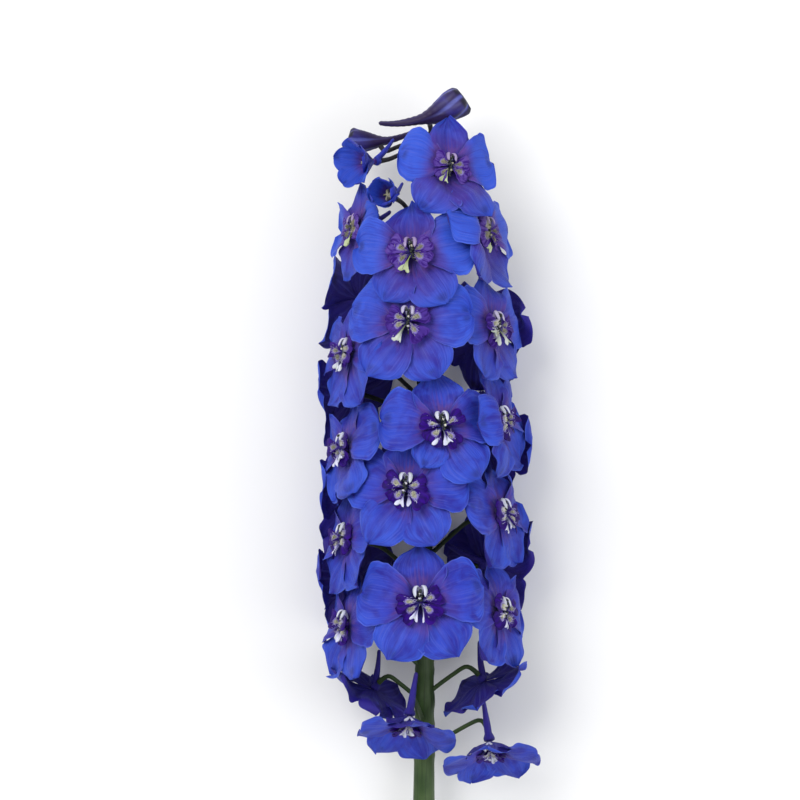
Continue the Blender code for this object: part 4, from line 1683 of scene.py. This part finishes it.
@dataclass
class Bee:
    """The bee of a floret: white hood, dark bearded lobes, white petals and black stamens."""

    floret: Floret
    finishes: Finishes
    lobe_rows: int = 16
    lobe_columns: int = 17
    lobe_thick: float = 0.55 * MM
    white_thick: float = 0.45 * MM
    white_notch: float = 2.0 * MM
    white_turns: tuple[float, ...] = (200, 163, 236)
    white_chances: tuple[float, ...] = (0.92, 0.50, 0.08)
    hood_thick: float = 0.4 * MM
    hairs: int = 60
    hair_length: float = 2.1 * MM
    hair_radius: float = 0.13 * MM
    stamens: int = 13
    strand_radius: float = 0.24 * MM
    head_radius: float = 0.68 * MM
    head_reach: float = 0.95 * MM

    def __post_init__(self) -> None:
        """Draws its seeded scatter."""
        self.random = np.random.default_rng(500 + self.floret.number)
        self.shape = Shape()
        self.growth = (self.floret.age(), self.floret.number * SEED_STEP % 1, 0.0)

    def scatter(self, spread: float) -> float:
        """A random number within a spread either way."""
        return float(self.random.uniform(-spread, spread))

    def petal(self, form: PetalForm, side: int, notch: float, thick: float) -> Sheet:
        """A fine petal of the bee.

        Args:
            form: Its form.
            side: 1 or -1 for the mirrored one.
            notch: How deep its tip is notched.
            thick: Its thickness.

        Returns:
            The sheet, in place.
        """
        size, fold = self.floret.size, self.floret.fold
        leave = min(form.leave + fold, STEEPEST)
        form = replace(form, leave=leave, end=min(form.end + fold, leave - LEAST_BEND))
        along, across = rounded_rows(self.lobe_rows, SMALL_ROOT), rim_columns(self.lobe_columns)
        seed = int(self.random.integers(1, 9999))
        detail = Detail(seed, 0.35 * MM, 0.05 * MM, 0.45 * MM, 0.055, notch)
        points = form.points(side, size, along, across, 0.0, detail)
        points[..., 2] += BEE_DEPTH * size
        return Sheet(self.floret.down(points), thick, along, across)

    def add_lobes(self) -> None:
        """Adds the four dark lobes and their beards."""
        for form in (LOBE, LOW_LOBE):
            for side in (1, -1):
                form_here = replace(
                    form,
                    turn=form.turn + self.scatter(15),
                    length=form.length * (1 + self.scatter(0.12)),
                    half_width=form.half_width * (1 + self.scatter(0.16)),
                    leave=form.leave + self.scatter(8),
                    end=form.end + self.scatter(14),
                )
                notch = (1.2 + self.scatter(0.8)) * MM
                sheet = self.petal(form_here, side, notch, self.lobe_thick)
                growth = (self.growth[0], float(self.random.uniform()), 0.0)
                sheet.put(self.shape, self.finishes.lobe, growth)
                self.add_beard(sheet)

    def add_beard(self, sheet: Sheet) -> None:
        """Adds the tuft of hairs on a lobe.

        Args:
            sheet: The lobe.
        """
        points, normals = sheet.front()
        count = self.hairs
        i = self.random.normal(0.50, 0.085, count)
        j = np.clip(self.random.normal(0.0, 0.30, count), -0.9, 0.9)
        outer = np.hypot((i - 0.50) / 0.17, j / 0.60)
        row = np.clip(np.interp(i, sheet.along, range(len(sheet.along))), 2, len(sheet.along) - 4)
        column = np.interp(j, sheet.across, range(len(sheet.across)))
        low_row, low_column = row.astype(int), column.astype(int)
        part, over = (row - low_row)[:, None], (column - low_column)[:, None]
        base = points[low_row, low_column] * (1 - part) * (1 - over)
        base += points[low_row + 1, low_column] * part * (1 - over)
        base += points[low_row, low_column + 1] * (1 - part) * over
        base += points[low_row + 1, low_column + 1] * part * over
        up = normals[low_row, low_column]
        inward = unit(self.floret.down(np.array((0, 0, 6 * MM)) * self.floret.size) - base)
        lean = unit(up + 0.55 * inward + self.random.normal(0, 0.28, (count, 3)))
        self.add_hairs(base - 0.15 * MM * up, lean, up, outer)

    def add_hairs(self, base: Points, lean: Points, up: Points, outer: Points) -> None:
        """Adds tapering hairs that bend over.

        Args:
            base: Where they stand.
            lean: Which way they lean.
            up: The surface's normals.
            outer: How far from the tuft's middle each stands, as a share.
        """
        count = len(base)
        length = self.hair_length * self.floret.size * self.random.uniform(0.6, 1.15, count)
        side = unit(np.cross(lean, (0.3, 0.5, 0.8)))
        other = np.cross(lean, side)
        rings = []
        for share, thin in ((0.0, 1.0), (0.55, 0.7)):
            centre = base + (length * share)[:, None] * unit(lean * (1 - share) + up * share)
            for angle in turns_round(3):
                spread = math.cos(angle) * side + math.sin(angle) * other
                rings.append(centre + self.hair_radius * thin * spread)
        tip = base + length[:, None] * unit(lean + 0.2 * up)
        points = np.stack([*rings, tip], axis=1)
        start = np.arange(count)[:, None] * 7
        quads = [(0, 1, 4, 3), (1, 2, 5, 4), (2, 0, 3, 5)]
        fans = [(3, 4, 6), (4, 5, 6), (5, 3, 6)]
        faces = [
            np.concatenate([start + np.array(some) for some in found])
            for found in (quads, fans)
        ]
        labels = np.zeros((count, 7, 3))
        labels[:, 3:6, 0], labels[:, 6, 0] = 0.55, 1.0
        labels[..., 1] = outer[:, None]
        points, labels = points.reshape(-1, 3), labels.reshape(-1, 3)
        self.shape.add(points, faces, self.finishes.beard, labels, self.growth)

    def add_hood(self) -> None:
        """Adds the two narrow pale petals that arch over the stamens, rolled in at their edges."""
        size = self.floret.size
        along, across = np.linspace(0, 1, 15), np.linspace(-1, 1, 11)
        for side in (1, -1):
            aside = side * (1 + self.scatter(0.12))
            knots = np.array((
                (0.3 * side, 3.5, 1.5), (0.2 * side, 9.5 + self.scatter(0.8), 4.0),
                (3.6 * aside, 9.0, 7.0), (2.1 * aside, 2.4 + self.scatter(0.9), 7.4),
            )) * MM
            weights = np.stack((
                (1 - along) ** 3, 3 * along * (1 - along) ** 2, 3 * along**2 * (1 - along), along**3
            ), -1)
            spine = weights @ knots
            down = unit(np.gradient(spine, axis=0))
            over = unit(np.cross(down, np.cross((1.0, 0.0, 0.0), down)))
            rise = np.cross(over, down)
            width = (0.70 + 0.35 * along - 0.45 * np.clip(along - 0.8, 0, 1) / 0.2) * MM
            roll = across * 1.5 + 0.5 * side
            flat = (np.sin(roll)[None, :] * width[:, None])[..., None] * over[:, None]
            high = ((np.cos(roll) - 1)[None, :] * width[:, None])[..., None] * rise[:, None]
            middle = self.floret.down((spine[:, None] + flat - high) * size)
            sheet = Sheet(middle[:, ::-1], self.hood_thick, 0.60 + 0.40 * along, across)
            sheet.put(self.shape, self.finishes.pale, (self.growth[0], self.growth[1], 1.0))

    def add_white_petals(self) -> None:
        """Adds the small white petals at the lower side, one alone on the youngest florets."""
        young = 1 - self.growth[0]
        chances = self.random.uniform(size=3) < self.white_chances
        count = 1 if young > 0.8 else int(chances.sum())
        for turn in self.white_turns[:count]:
            form = replace(
                WHITE,
                turn=turn + self.scatter(9),
                length=WHITE.length * (0.86 + 0.14 * young + self.scatter(0.07)),
                half_width=WHITE.half_width * (0.9 + 0.15 * young + self.scatter(0.12)),
                end=WHITE.end + self.scatter(14),
            )
            sheet = self.petal(form, 1, self.white_notch, self.white_thick)
            growth = (self.growth[0], self.scatter(0.5) + 0.5, 0.0)
            sheet.put(self.shape, self.finishes.pale, growth)

    def add_stamens(self) -> None:
        """Adds the dark stamens that spill in a line from under the hood, on a low hub."""
        size, finishes = self.floret.size, self.finishes
        drop = 0.45 + 0.55 * float(self.random.uniform())
        swerve = self.scatter(1.6)
        for k in range(self.stamens):
            low = k / (self.stamens - 1)
            tip = np.array((
                self.scatter(1.0) + swerve * low,
                5.6 - 11.6 * low * drop + self.scatter(0.4),
                6.4 - 2.2 * low + self.scatter(0.5),
            )) * MM
            root = np.array((self.scatter(0.6), self.scatter(0.6) + 0.4, 2.2)) * MM
            bend = (root + tip) / 2 + np.array((0, 0.5, 0.9)) * MM
            path = self.floret.down(bow(root, bend, tip, 7) * size)
            finish = finishes.pale if k % 3 == 0 else finishes.stamen
            strand = Tube(path, np.full(7, self.strand_radius), 6)
            strand.put(self.shape, finish, (1.0, self.growth[1], 0.0))
            turn = self.random.normal(0, 1, 3)
            stretch = unit(turn + (0, 0, 1.0)) * self.head_reach
            spread = np.linspace(-1, 1, 7)
            head = tip + spread[:, None] * stretch
            radii = self.head_radius * np.sqrt(np.maximum(1 - spread**2, 0.02)) * size
            finish = finishes.beard if k in (4, 9) else finishes.stamen
            Tube(self.floret.down(head * size), radii, 8).put(self.shape, finish, self.growth)
        hub = np.array(((0, 0, 0.4), (0, 0, 1.4), (0, 0, 2.2), (0, 0, 2.7))) * MM * size
        radii = np.array((1.8, 1.9, 1.3, 0.5)) * MM * size
        Tube(self.floret.down(hub), radii, 14).put(self.shape, finishes.lobe, self.growth)

    def object(self) -> bpy.types.Object:
        """Makes the whole bee.

        Returns:
            One object.
        """
        self.add_lobes()
        self.add_hood()
        self.add_white_petals()
        self.add_stamens()
        return self.shape.object(f"floret_{self.floret.number:02d}_fine_bee")


class HalfOpen(Flower):
    """A floret whose sepals still stand in a cup round the young green bee."""

    joint_gap = 2 * GAP

    def __init__(
        self,
        place: Sequence[float],
        facing: Sequence[float],
        size: float,
        node_height: float,
        angles: tuple[float, float],
    ) -> None:
        """Places it.

        Args:
            place: Across, along and out from the axis.
            facing: The direction it faces.
            size: Its size.
            node_height: Where its pedicel leaves the stem.
            angles: Degrees at which its sepals leave and end.
        """
        super().__init__(Axes(np.array(place), facing, 0.0), size, node_height)
        self.leave, self.end = angles

    def object(self, number: int, finishes: Finishes) -> bpy.types.Object:
        """Makes the cup of five sepals with its spur and young bee.

        Args:
            number: Names it and seeds its scatter.
            finishes: The materials.

        Returns:
            One object.
        """
        shape = Shape()
        random = np.random.default_rng(70 + number)
        along, across = rounded_rows(FINE_ROWS, PETAL_ROOT), rim_columns(FINE_COLUMNS)
        for k in range(5):
            end = self.end - 6 * random.uniform()
            form = replace(CUP, turn=72 * k, leave=self.leave, end=end)
            detail = Detail(7000 + 10 * number + k, 0.3 * MM, 0.12 * MM, 0.4 * MM, 0.02,
                            0.7 * MM * random.uniform())
            points = self.down(form.points(1, self.size, along, across, 0.0, detail))
            sheet = Sheet(points, SEPAL_THICK, along, across)
            sheet.put(shape, finishes.cup, (0.0, float(random.uniform()), 0.5))
        self.put_behind(shape, finishes.cup, 0.1, 0.4)
        self.add_young_bee(shape, random, finishes)
        return shape.object(f"fine_half_open_{number}")

    def add_young_bee(
        self, shape: Shape, random: np.random.Generator, finishes: Finishes
    ) -> None:
        """Adds the closed green-yellow petals in the middle.

        Args:
            shape: What they go into.
            random: Seeded scatter.
            finishes: The materials.
        """
        along, across = rounded_rows(12, SMALL_ROOT), rim_columns(11)
        for k in range(5):
            form = replace(
                LOBE, turn=72 * k + 20, length=0.34, swell=0.9, leave=70, end=115, cup=0.5
            )
            detail = Detail(int(random.integers(1, 9999)), 0.2 * MM, 0.05 * MM, 0.3 * MM, 0.05)
            points = form.points(1, self.size, along, across, 0.0, detail)
            points[..., 2] += 1.0 * MM
            sheet = Sheet(self.down(points), SEPAL_THICK, along, across)
            sheet.put(shape, finishes.beard, (0.0, float(random.uniform()), 0.0))
        core = np.array([(0, 0, z) for z in (-2, 1, 4, 6)]) * MM * self.size
        radii = np.array((1.6, 2.4, 2.2, 0.9)) * MM * self.size
        Tube(self.down(core), radii, 12).put(shape, finishes.lobe, (0.0, 0.3, 0.0), 1.0)


@dataclass
class Bud:
    """A closed bud: a wrinkled spur that swells into the body, carried at the neck."""

    spur_tip: tuple[float, float, float]
    body_end: tuple[float, float, float]
    size: float
    node_height: float
    sag: float = 0.10
    joint: float = 0.57
    sides: int = 40
    profile: tuple[tuple[float, float], ...] = (
        (0.00, 1.1), (0.25, 1.7), (0.50, 2.6), (0.60, 4.2), (0.72, 6.4), (0.86, 8.2),
        (0.96, 7.9), (1.00, 5.4),
    )

    def line(self, shares: Points) -> Points:
        """Finds its middle line.

        Args:
            shares: Shares of its length.

        Returns:
            The points there, round the straight axis.
        """
        start, end = np.array(self.spur_tip), np.array(self.body_end)
        sag = np.array((0.0, self.sag, 0.0)) * np.linalg.norm(end - start)
        shares = shares[:, None]
        return start + (end - start) * shares - sag * 4 * shares * (1 - shares)

    def radius(self, shares: Points) -> Points:
        """Its radius at shares of its length."""
        places, radii = np.array(self.profile).T
        return np.interp(shares, places, radii) * MM * self.size

    def pedicel_path(self, count: int = 3) -> Points:
        """Finds the middle line of its stalk, which ends square under the neck, a gap short of it.

        Args:
            count: Points before the last.

        Returns:
            The points.
        """
        shares = np.array([share for share, _ in self.profile])
        coarse = self.line(shares)
        neck = np.array([np.interp(self.joint, shares, coarse[:, k]) for k in range(3)])
        start = np.array((0.0, self.node_height, 0.0))
        along = unit(np.array(self.body_end) - np.array(self.spur_tip))
        inward = unit(start - neck - ((start - neck) @ along) * along)
        end = neck + inward * (float(self.radius(np.array(self.joint))) + GAP + 0.5 * MM)
        lean = np.array((0.2 * end[0] / MM, 8.0, 0.2 * end[2] / MM))
        return bent(start, lean, end, -inward, count)

    def object(self, number: int, finishes: Finishes) -> bpy.types.Object:
        """Makes the bud.

        Args:
            number: Names it and seeds its colour.
            finishes: The materials.

        Returns:
            One object.
        """
        shares = np.concatenate((np.linspace(0, 0.9, 46), np.linspace(0.9, 1, 14)[1:]))
        radius = smoothed(self.radius(shares)[:, None], 6)[:, 0]
        radius[0] *= 0.45
        radius[-1] *= 0.25
        body = np.clip((shares - 0.52) / 0.22, 0, 1)[:, None]
        twist = turns_round(self.sides)[None, :] + 1.1 * shares[:, None]
        seams = np.abs(np.cos(2.5 * twist)) ** 0.5
        end = np.clip((shares - 0.84) / 0.16, 0, 1)[:, None]
        ridge = np.abs(np.cos(2.5 * twist)) ** 3
        form = 1 - body * 0.09 * (1 - seams) * 2 + 0.05 * np.sin(3 * twist + 9 * shares[:, None])
        form = form + end * (0.22 * ridge - 0.12)
        wrinkle = (1 - body) * 0.05 * np.sin(90 * shares[:, None] + 2 * np.sin(2 * twist))
        radii = radius[:, None] * (form + wrinkle)
        shape = Shape()
        seam = np.abs(np.sin(2.5 * twist)) ** 3
        tube = Tube(REST.put_down(self.line(shares)), radii, self.sides)
        tube.put(shape, finishes.bud, (0.0, number * 0.31 % 1, 0.0), seam)
        return shape.object(f"fine_bud_{number}")


@dataclass
class Stem:
    """The bare stem with its ribs, its cut end and a pedicel for each flower."""

    stations: tuple[tuple[float, float], ...] = (
        (-116, 5.9), (-20, 5.8), (40, 4.9), (100, 4.2), (170, 3.5), (240, 2.8), (300, 2.0),
        (331.5, 1.4),
    )
    rings: int = 240
    sides: int = 56
    ribs: int = 7
    pedicel_radius: float = 1.2 * MM

    def radius(self, heights: Points) -> Points:
        """Its radius at heights along the axis."""
        places, radii = np.array(self.stations).T * MM
        return np.interp(heights, places, radii)

    def object(
        self, carried: Sequence["Flower | Bud"], finishes: Finishes
    ) -> bpy.types.Object:
        """The stem with all pedicels.

        Args:
            carried: The flowers and buds on it.
            finishes: The materials.

        Returns:
            The object.
        """
        shape = Shape()
        heights = np.linspace(REST.cut_end + 0.6 * MM, REST.top_node, self.rings)
        radii = smoothed(self.radius(heights)[:, None], 12)
        swing = turns_round(self.sides)[None, :] + 2.2 * heights[:, None]
        ribs = 1 + 0.012 * np.cos(self.ribs * swing) + 0.006 * np.cos(13 * swing + 1.0)
        grid = radii * ribs
        for item in carried:
            up = heights - item.node_height
            grid += (0.5 * MM * np.exp(-((up / (2.6 * MM)) ** 2)))[:, None]
        tube = Tube(REST.put_down(on_axis(heights)), grid, self.sides, first_end=False)
        self.put_graded(shape, tube, finishes, REST.share_up(heights))
        self.put_cut(shape, tube, finishes)
        for number, item in enumerate(carried):
            self.put_pedicel(shape, item, number, finishes)
        return shape.object("stem_and_pedicels")

    def put_graded(
        self, shape: Shape, tube: Tube, finishes: Finishes, shares: Points
    ) -> None:
        """Adds the stem and marks each of its points with its height, for the finish.

        Args:
            shape: What it goes into.
            tube: The whole stem.
            finishes: The materials.
            shares: The share of the height at each ring.
        """
        tube.put(shape, finishes.stem, (0.0, 0.5, 0.0))
        graded = np.zeros((len(shape.points[-1]), 3)) + (1.0, 0.5, 0.0)
        graded[:len(shares) * self.sides, 0] = np.repeat(shares, self.sides)
        shape.growth[-1] = graded

    def put_cut(self, shape: Shape, tube: Tube, finishes: Finishes) -> None:
        """Adds the cut end: a rounded edge, a green ring and slightly sunken pith.

        Args:
            shape: What it goes into.
            tube: The stem, whose first ring it closes.
            finishes: The materials.
        """
        first, second = tube.axes()
        turns = turns_round(self.sides)
        ring = np.cos(turns)[:, None] * first[0] + np.sin(turns)[:, None] * second[0]
        edge = np.asarray(tube.radii)[0][:, None] * ring
        steps = ((1.0, 0.0), (0.985, 0.38), (0.95, 0.58), (0.90, 0.60), (0.74, 0.57),
                 (0.62, 0.50), (0.50, 0.38), (0.30, 0.33), (0.12, 0.30), (0.02, 0.30))
        points, labels = [], []
        for out, back in steps:
            points.append(tube.path[0] + edge * out + np.array((0.0, -back * MM, 0.0)))
            labels.append(np.stack((np.full(self.sides, out), turns / 6.2832, 0 * turns), -1))
        last = (len(steps) - 1) * self.sides + np.arange(self.sides)[None]
        faces = [ring_quads(len(steps), self.sides, -1), last]
        points, labels = above_floor(np.concatenate(points)), np.concatenate(labels)
        shape.add(points, faces, finishes.cut, labels, (0.0, 0.5, 0.0))

    def put_pedicel(
        self, shape: Shape, item: "Flower | Bud", number: int, finishes: Finishes
    ) -> None:
        """Adds a pedicel that widens at both ends.

        Args:
            shape: What it goes into.
            item: The flower or bud on it.
            number: Seeds its colour.
            finishes: The materials.
        """
        coarse = item.pedicel_path(16)
        path = REST.put_down(smoothed(dense(coarse, 26), 6))
        shares = np.linspace(0, 1, len(path))
        radius = self.pedicel_radius * (
            0.92 + 0.45 * np.exp(-shares / 0.12) + 0.22 * np.exp(-(1 - shares) / 0.08)
        )
        growth = (float(REST.share_up(item.node_height)), number * 0.17 % 1, 0.0)
        Tube(path, radius, 14).put(shape, finishes.stem, growth, 1.0)


@dataclass
class Spike:
    """The whole spike: its florets, half-open florets, buds and stem."""

    facing: tuple[tuple[float, ...], ...] = (
        (-3, 103.5 * MM, FACE_RADIUS, 9, 3, 1.0),
        (-12, 159.6 * MM, FACE_RADIUS, 12, -2, 0.98),
        (10.5, 190.2 * MM, FACE_RADIUS, 12, 4, 0.98),
        (-10.5, 242.3 * MM, FACE_RADIUS, 12, -3, 1.0),
        (-60, 290.7 * MM, 37 * MM, 10, 14, 0.85, -20 * MM),
        (-8.5, 276.4 * MM, 39 * MM, 12, 2, 1.0),
        (23, 320.8 * MM, 32 * MM, 4, -4, 0.85),
    )
    columns: tuple[tuple[float, float, float, int], ...] = (
        (-62, 90 * MM, 46 * MM, 4),
        (59, 98 * MM, 47.5 * MM, 5),
        (-126, 108 * MM, 50 * MM, 4),
        (128, 122 * MM, 58 * MM, 3),
    )
    nodding: tuple[tuple, ...] = (
        ((-26 * MM, 56 * MM, 4 * MM), (-0.55, -0.80, -0.25), 20, 0.78, 4),
        ((30 * MM, 60 * MM, 3 * MM), (0.55, -0.80, -0.20), -20, 0.80, 8),
        ((-8 * MM, 45 * MM, 30 * MM), (-0.10, -0.88, 0.45), -18, 0.88, 32),
        ((33 * MM, 30 * MM, 14 * MM), (0.10, -0.88, 0.45), 18, 0.88, 32),
    )
    half_open: tuple[tuple, ...] = (
        ((-15 * MM, 306 * MM, 25 * MM), (-0.35, 0.10, 0.93), 0.62, 290 * MM, (55, 85)),
        ((-24 * MM, 325 * MM, 13 * MM), (-0.72, -0.12, 0.68), 0.68, 327 * MM, (62, 50)),
    )
    buds: tuple[tuple, ...] = (
        ((-22 * MM, 345 * MM, 8 * MM), (21.5 * MM, 357.5 * MM, 12 * MM), 1.0, 331.5 * MM),
        ((0 * MM, 344 * MM, -7 * MM), (-38 * MM, 338 * MM, -4 * MM), 0.80, 331.5 * MM),
        ((6 * MM, 333 * MM, -16 * MM), (17 * MM, 341 * MM, -24 * MM), 0.50, 318 * MM),
    )
    column_tilt: float = 11
    jitter: tuple[float, float, float] = (4, 3 * MM, 12)
    seed: int = 11
    narrows_from: float = 230 * MM
    pressed_below: float = 0.3
    pressed_reach: float = 46 * MM

    def side_columns(self) -> list[Floret]:
        """Sets out the florets down the sides and underneath.

        Returns:
            The florets.
        """
        random = np.random.default_rng(self.seed)
        florets = []
        for turn, first, rise, count in self.columns:
            for k in range(count):
                scatter = random.uniform(-1, 1, 3) * self.jitter
                height = first + k * rise + scatter[1]
                out = FACE_RADIUS - max(0.12 * (height - self.narrows_from), 0)
                florets.append(Floret(
                    turn + scatter[0], height, out, self.column_tilt, scatter[2], 0.94
                ))
        return florets

    def close_part(self) -> list[Floret]:
        """Sets out the florets of the close part, each laid over those below it.

        Returns:
            The florets, from the foot up.
        """
        florets = [Floret(*row) for row in self.facing] + self.side_columns()
        centres = [floret.flat() for floret in florets]
        centres += [
            np.array((math.atan2(place[0], place[2]) * FACE_RADIUS, place[1]))
            for place, *_ in self.half_open
        ]
        for i, floret in enumerate(florets):
            floret.share_room(centres[:i] + centres[i + 1:])
        relief = Relief()
        order = sorted(
            florets, key=lambda f: (f.downward() > self.pressed_below, f.height + f.lift)
        )
        for floret in order:
            downward = floret.downward()
            if downward > self.pressed_below:
                deepest = min(floret.laid_points()[:, 2].min(), floret.bee_tip()[2])
                floret.set_out(floret.out + (self.pressed_reach + deepest) / downward)
            floret.set_out(max(floret.out, float(relief.least(floret.axes.place))))
            floret.relief = relief
            relief = relief.with_laid(floret.laid_points())
        return sorted(florets, key=lambda f: f.height)

    @staticmethod
    def turn_spurs(florets: Sequence[Floret], others: Sequence[Points]) -> None:
        """Turns each spur until it is well clear of pedicels, stem and other spurs.

        Args:
            florets: All open florets.
            others: Lines of the other pedicels.
        """
        stem = on_axis(np.linspace(REST.cut_end, REST.top_node, 90))
        pedicels = [dense(f.pedicel_path(), 15) for f in florets] + list(others)
        placed: list[Points] = []
        for i, floret in enumerate(florets):
            lines = [stem] + [p for j, p in enumerate(pedicels) if j != i] + placed
            best = None
            for scale in (1.0, 0.8, 0.62):
                for turn in (0, 25, -25, 50, -50, 75, -75):
                    floret.spur_turn, floret.spur_scale = math.radians(turn), scale
                    path = dense(floret.spur_path())
                    free = min(
                        float(np.linalg.norm(path[:, None] - line[None], axis=-1).min())
                        for line in lines
                    )
                    score = min(free, 7 * MM) - 0.012 * MM * abs(turn) + 3 * MM * scale
                    if best is None or score > best[0]:
                        best = (score, floret.spur_turn, scale)
            floret.spur_turn, floret.spur_scale = best[1:]
            placed.append(dense(floret.spur_path()))

    def build(self, finishes: Finishes) -> None:
        """Makes every piece and hands it to the frame.

        Args:
            finishes: The materials.
        """
        florets = self.close_part() + [Nodding(*row) for row in self.nodding]
        florets.sort(key=lambda f: f.height)
        cups = [HalfOpen(*row) for row in self.half_open]
        buds = [Bud(*row) for row in self.buds]
        self.turn_spurs(florets, [dense(item.pedicel_path(), 15) for item in cups + buds])
        keep(Stem().object(florets + cups + buds, finishes), "stem")
        for number, floret in enumerate(florets, 1):
            floret.number = number
            keep(floret.sepal_object(finishes), f"floret_{number:02d}_sepals")
            keep(Bee(floret, finishes).object(), f"floret_{number:02d}_bee")
        for node, items in (("half_open", cups), ("bud", buds)):
            for number, item in enumerate(items, 1):
                keep(item.object(number, finishes), f"{node}_{number}")


def keep(piece: bpy.types.Object, node: str) -> None:
    """Puts a fine piece in the frame in place of its solid.

    Args:
        piece: The new piece.
        node: The solid's name.
    """
    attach(piece, BODY)
    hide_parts(node)
    log.info("%s stands for %s with %d faces", piece.name, node, len(piece.data.polygons))


@dataclass
class Studio:
    """Pale floor, soft light and the camera straight above."""

    finishes: Finishes
    centre: tuple[float, float] = (-13.1 * MM, 80.6 * MM)
    view_width: float = 408 * MM
    camera_height: float = 1.5
    focus_height: float = 40 * MM
    sensor: float = 36.0
    floor_size: float = 9.0
    floor_depth: float = 0.3 * MM
    room_light: float = 0.75

    def add_floor(self) -> None:
        """Adds the floor just under the spike."""
        half, low = self.floor_size / 2, -self.floor_depth
        corners = [(-half, -half, low), (half, -half, low), (half, half, low), (-half, half, low)]
        mesh = bpy.data.meshes.new("floor")
        mesh.from_pydata(corners, [], [(0, 1, 2, 3)])
        mesh.materials.append(self.finishes.floor)
        linked("floor", mesh)

    def add_lamp(
        self, name: str, place: Sequence[float], size: float, power: float, colour: Colour
    ) -> None:
        """Adds a soft square lamp that points at the spike.

        Args:
            name: The lamp's name.
            place: Where it hangs.
            size: Its width.
            power: Its power in watts.
            colour: Its colour.
        """
        lamp = bpy.data.lights.new(name, "AREA")
        lamp.size, lamp.energy, lamp.color = size, power, colour
        made = linked(name, lamp)
        made.location = place
        aim = Vector((*self.centre, 0.03)) - made.location
        made.rotation_euler = aim.to_track_quat("-Z", "Y").to_euler()

    def add_world(self) -> None:
        """Lights the room evenly in near white."""
        world = bpy.data.worlds.new("room")
        world.use_nodes = True
        background = world.node_tree.nodes["Background"]
        background.inputs["Color"].default_value = (0.97, 0.98, 1.0, 1.0)
        background.inputs["Strength"].default_value = self.room_light
        bpy.context.scene.world = world

    def add_camera(self) -> None:
        """Hangs the camera over the spike, framed as in the photograph."""
        lens = bpy.data.cameras.new("camera")
        lens.sensor_width = self.sensor
        lens.lens = self.sensor * (self.camera_height - self.focus_height) / self.view_width
        made = linked("camera", lens)
        made.location = (*self.centre, self.camera_height)
        bpy.context.scene.camera = made

    def build(self) -> None:
        """Sets up the whole studio."""
        self.add_floor()
        self.add_lamp("key", (-0.9, 0.9, 1.7), 1.1, 26.0, (1.0, 0.99, 0.97))
        self.add_lamp("fill", (1.1, -0.5, 1.3), 1.3, 9.0, (0.95, 0.97, 1.0))
        self.add_world()
        self.add_camera()
        bpy.context.scene.view_settings.view_transform = "Standard"
        log.info("studio ready")


def main() -> None:
    """Builds the studio and the spike."""
    logging.basicConfig(level=logging.INFO, format="%(name)s: %(message)s")
    finishes = Finishes()
    Studio(finishes).build()
    Spike().build(finishes)


if __name__ == "__main__":
    main()
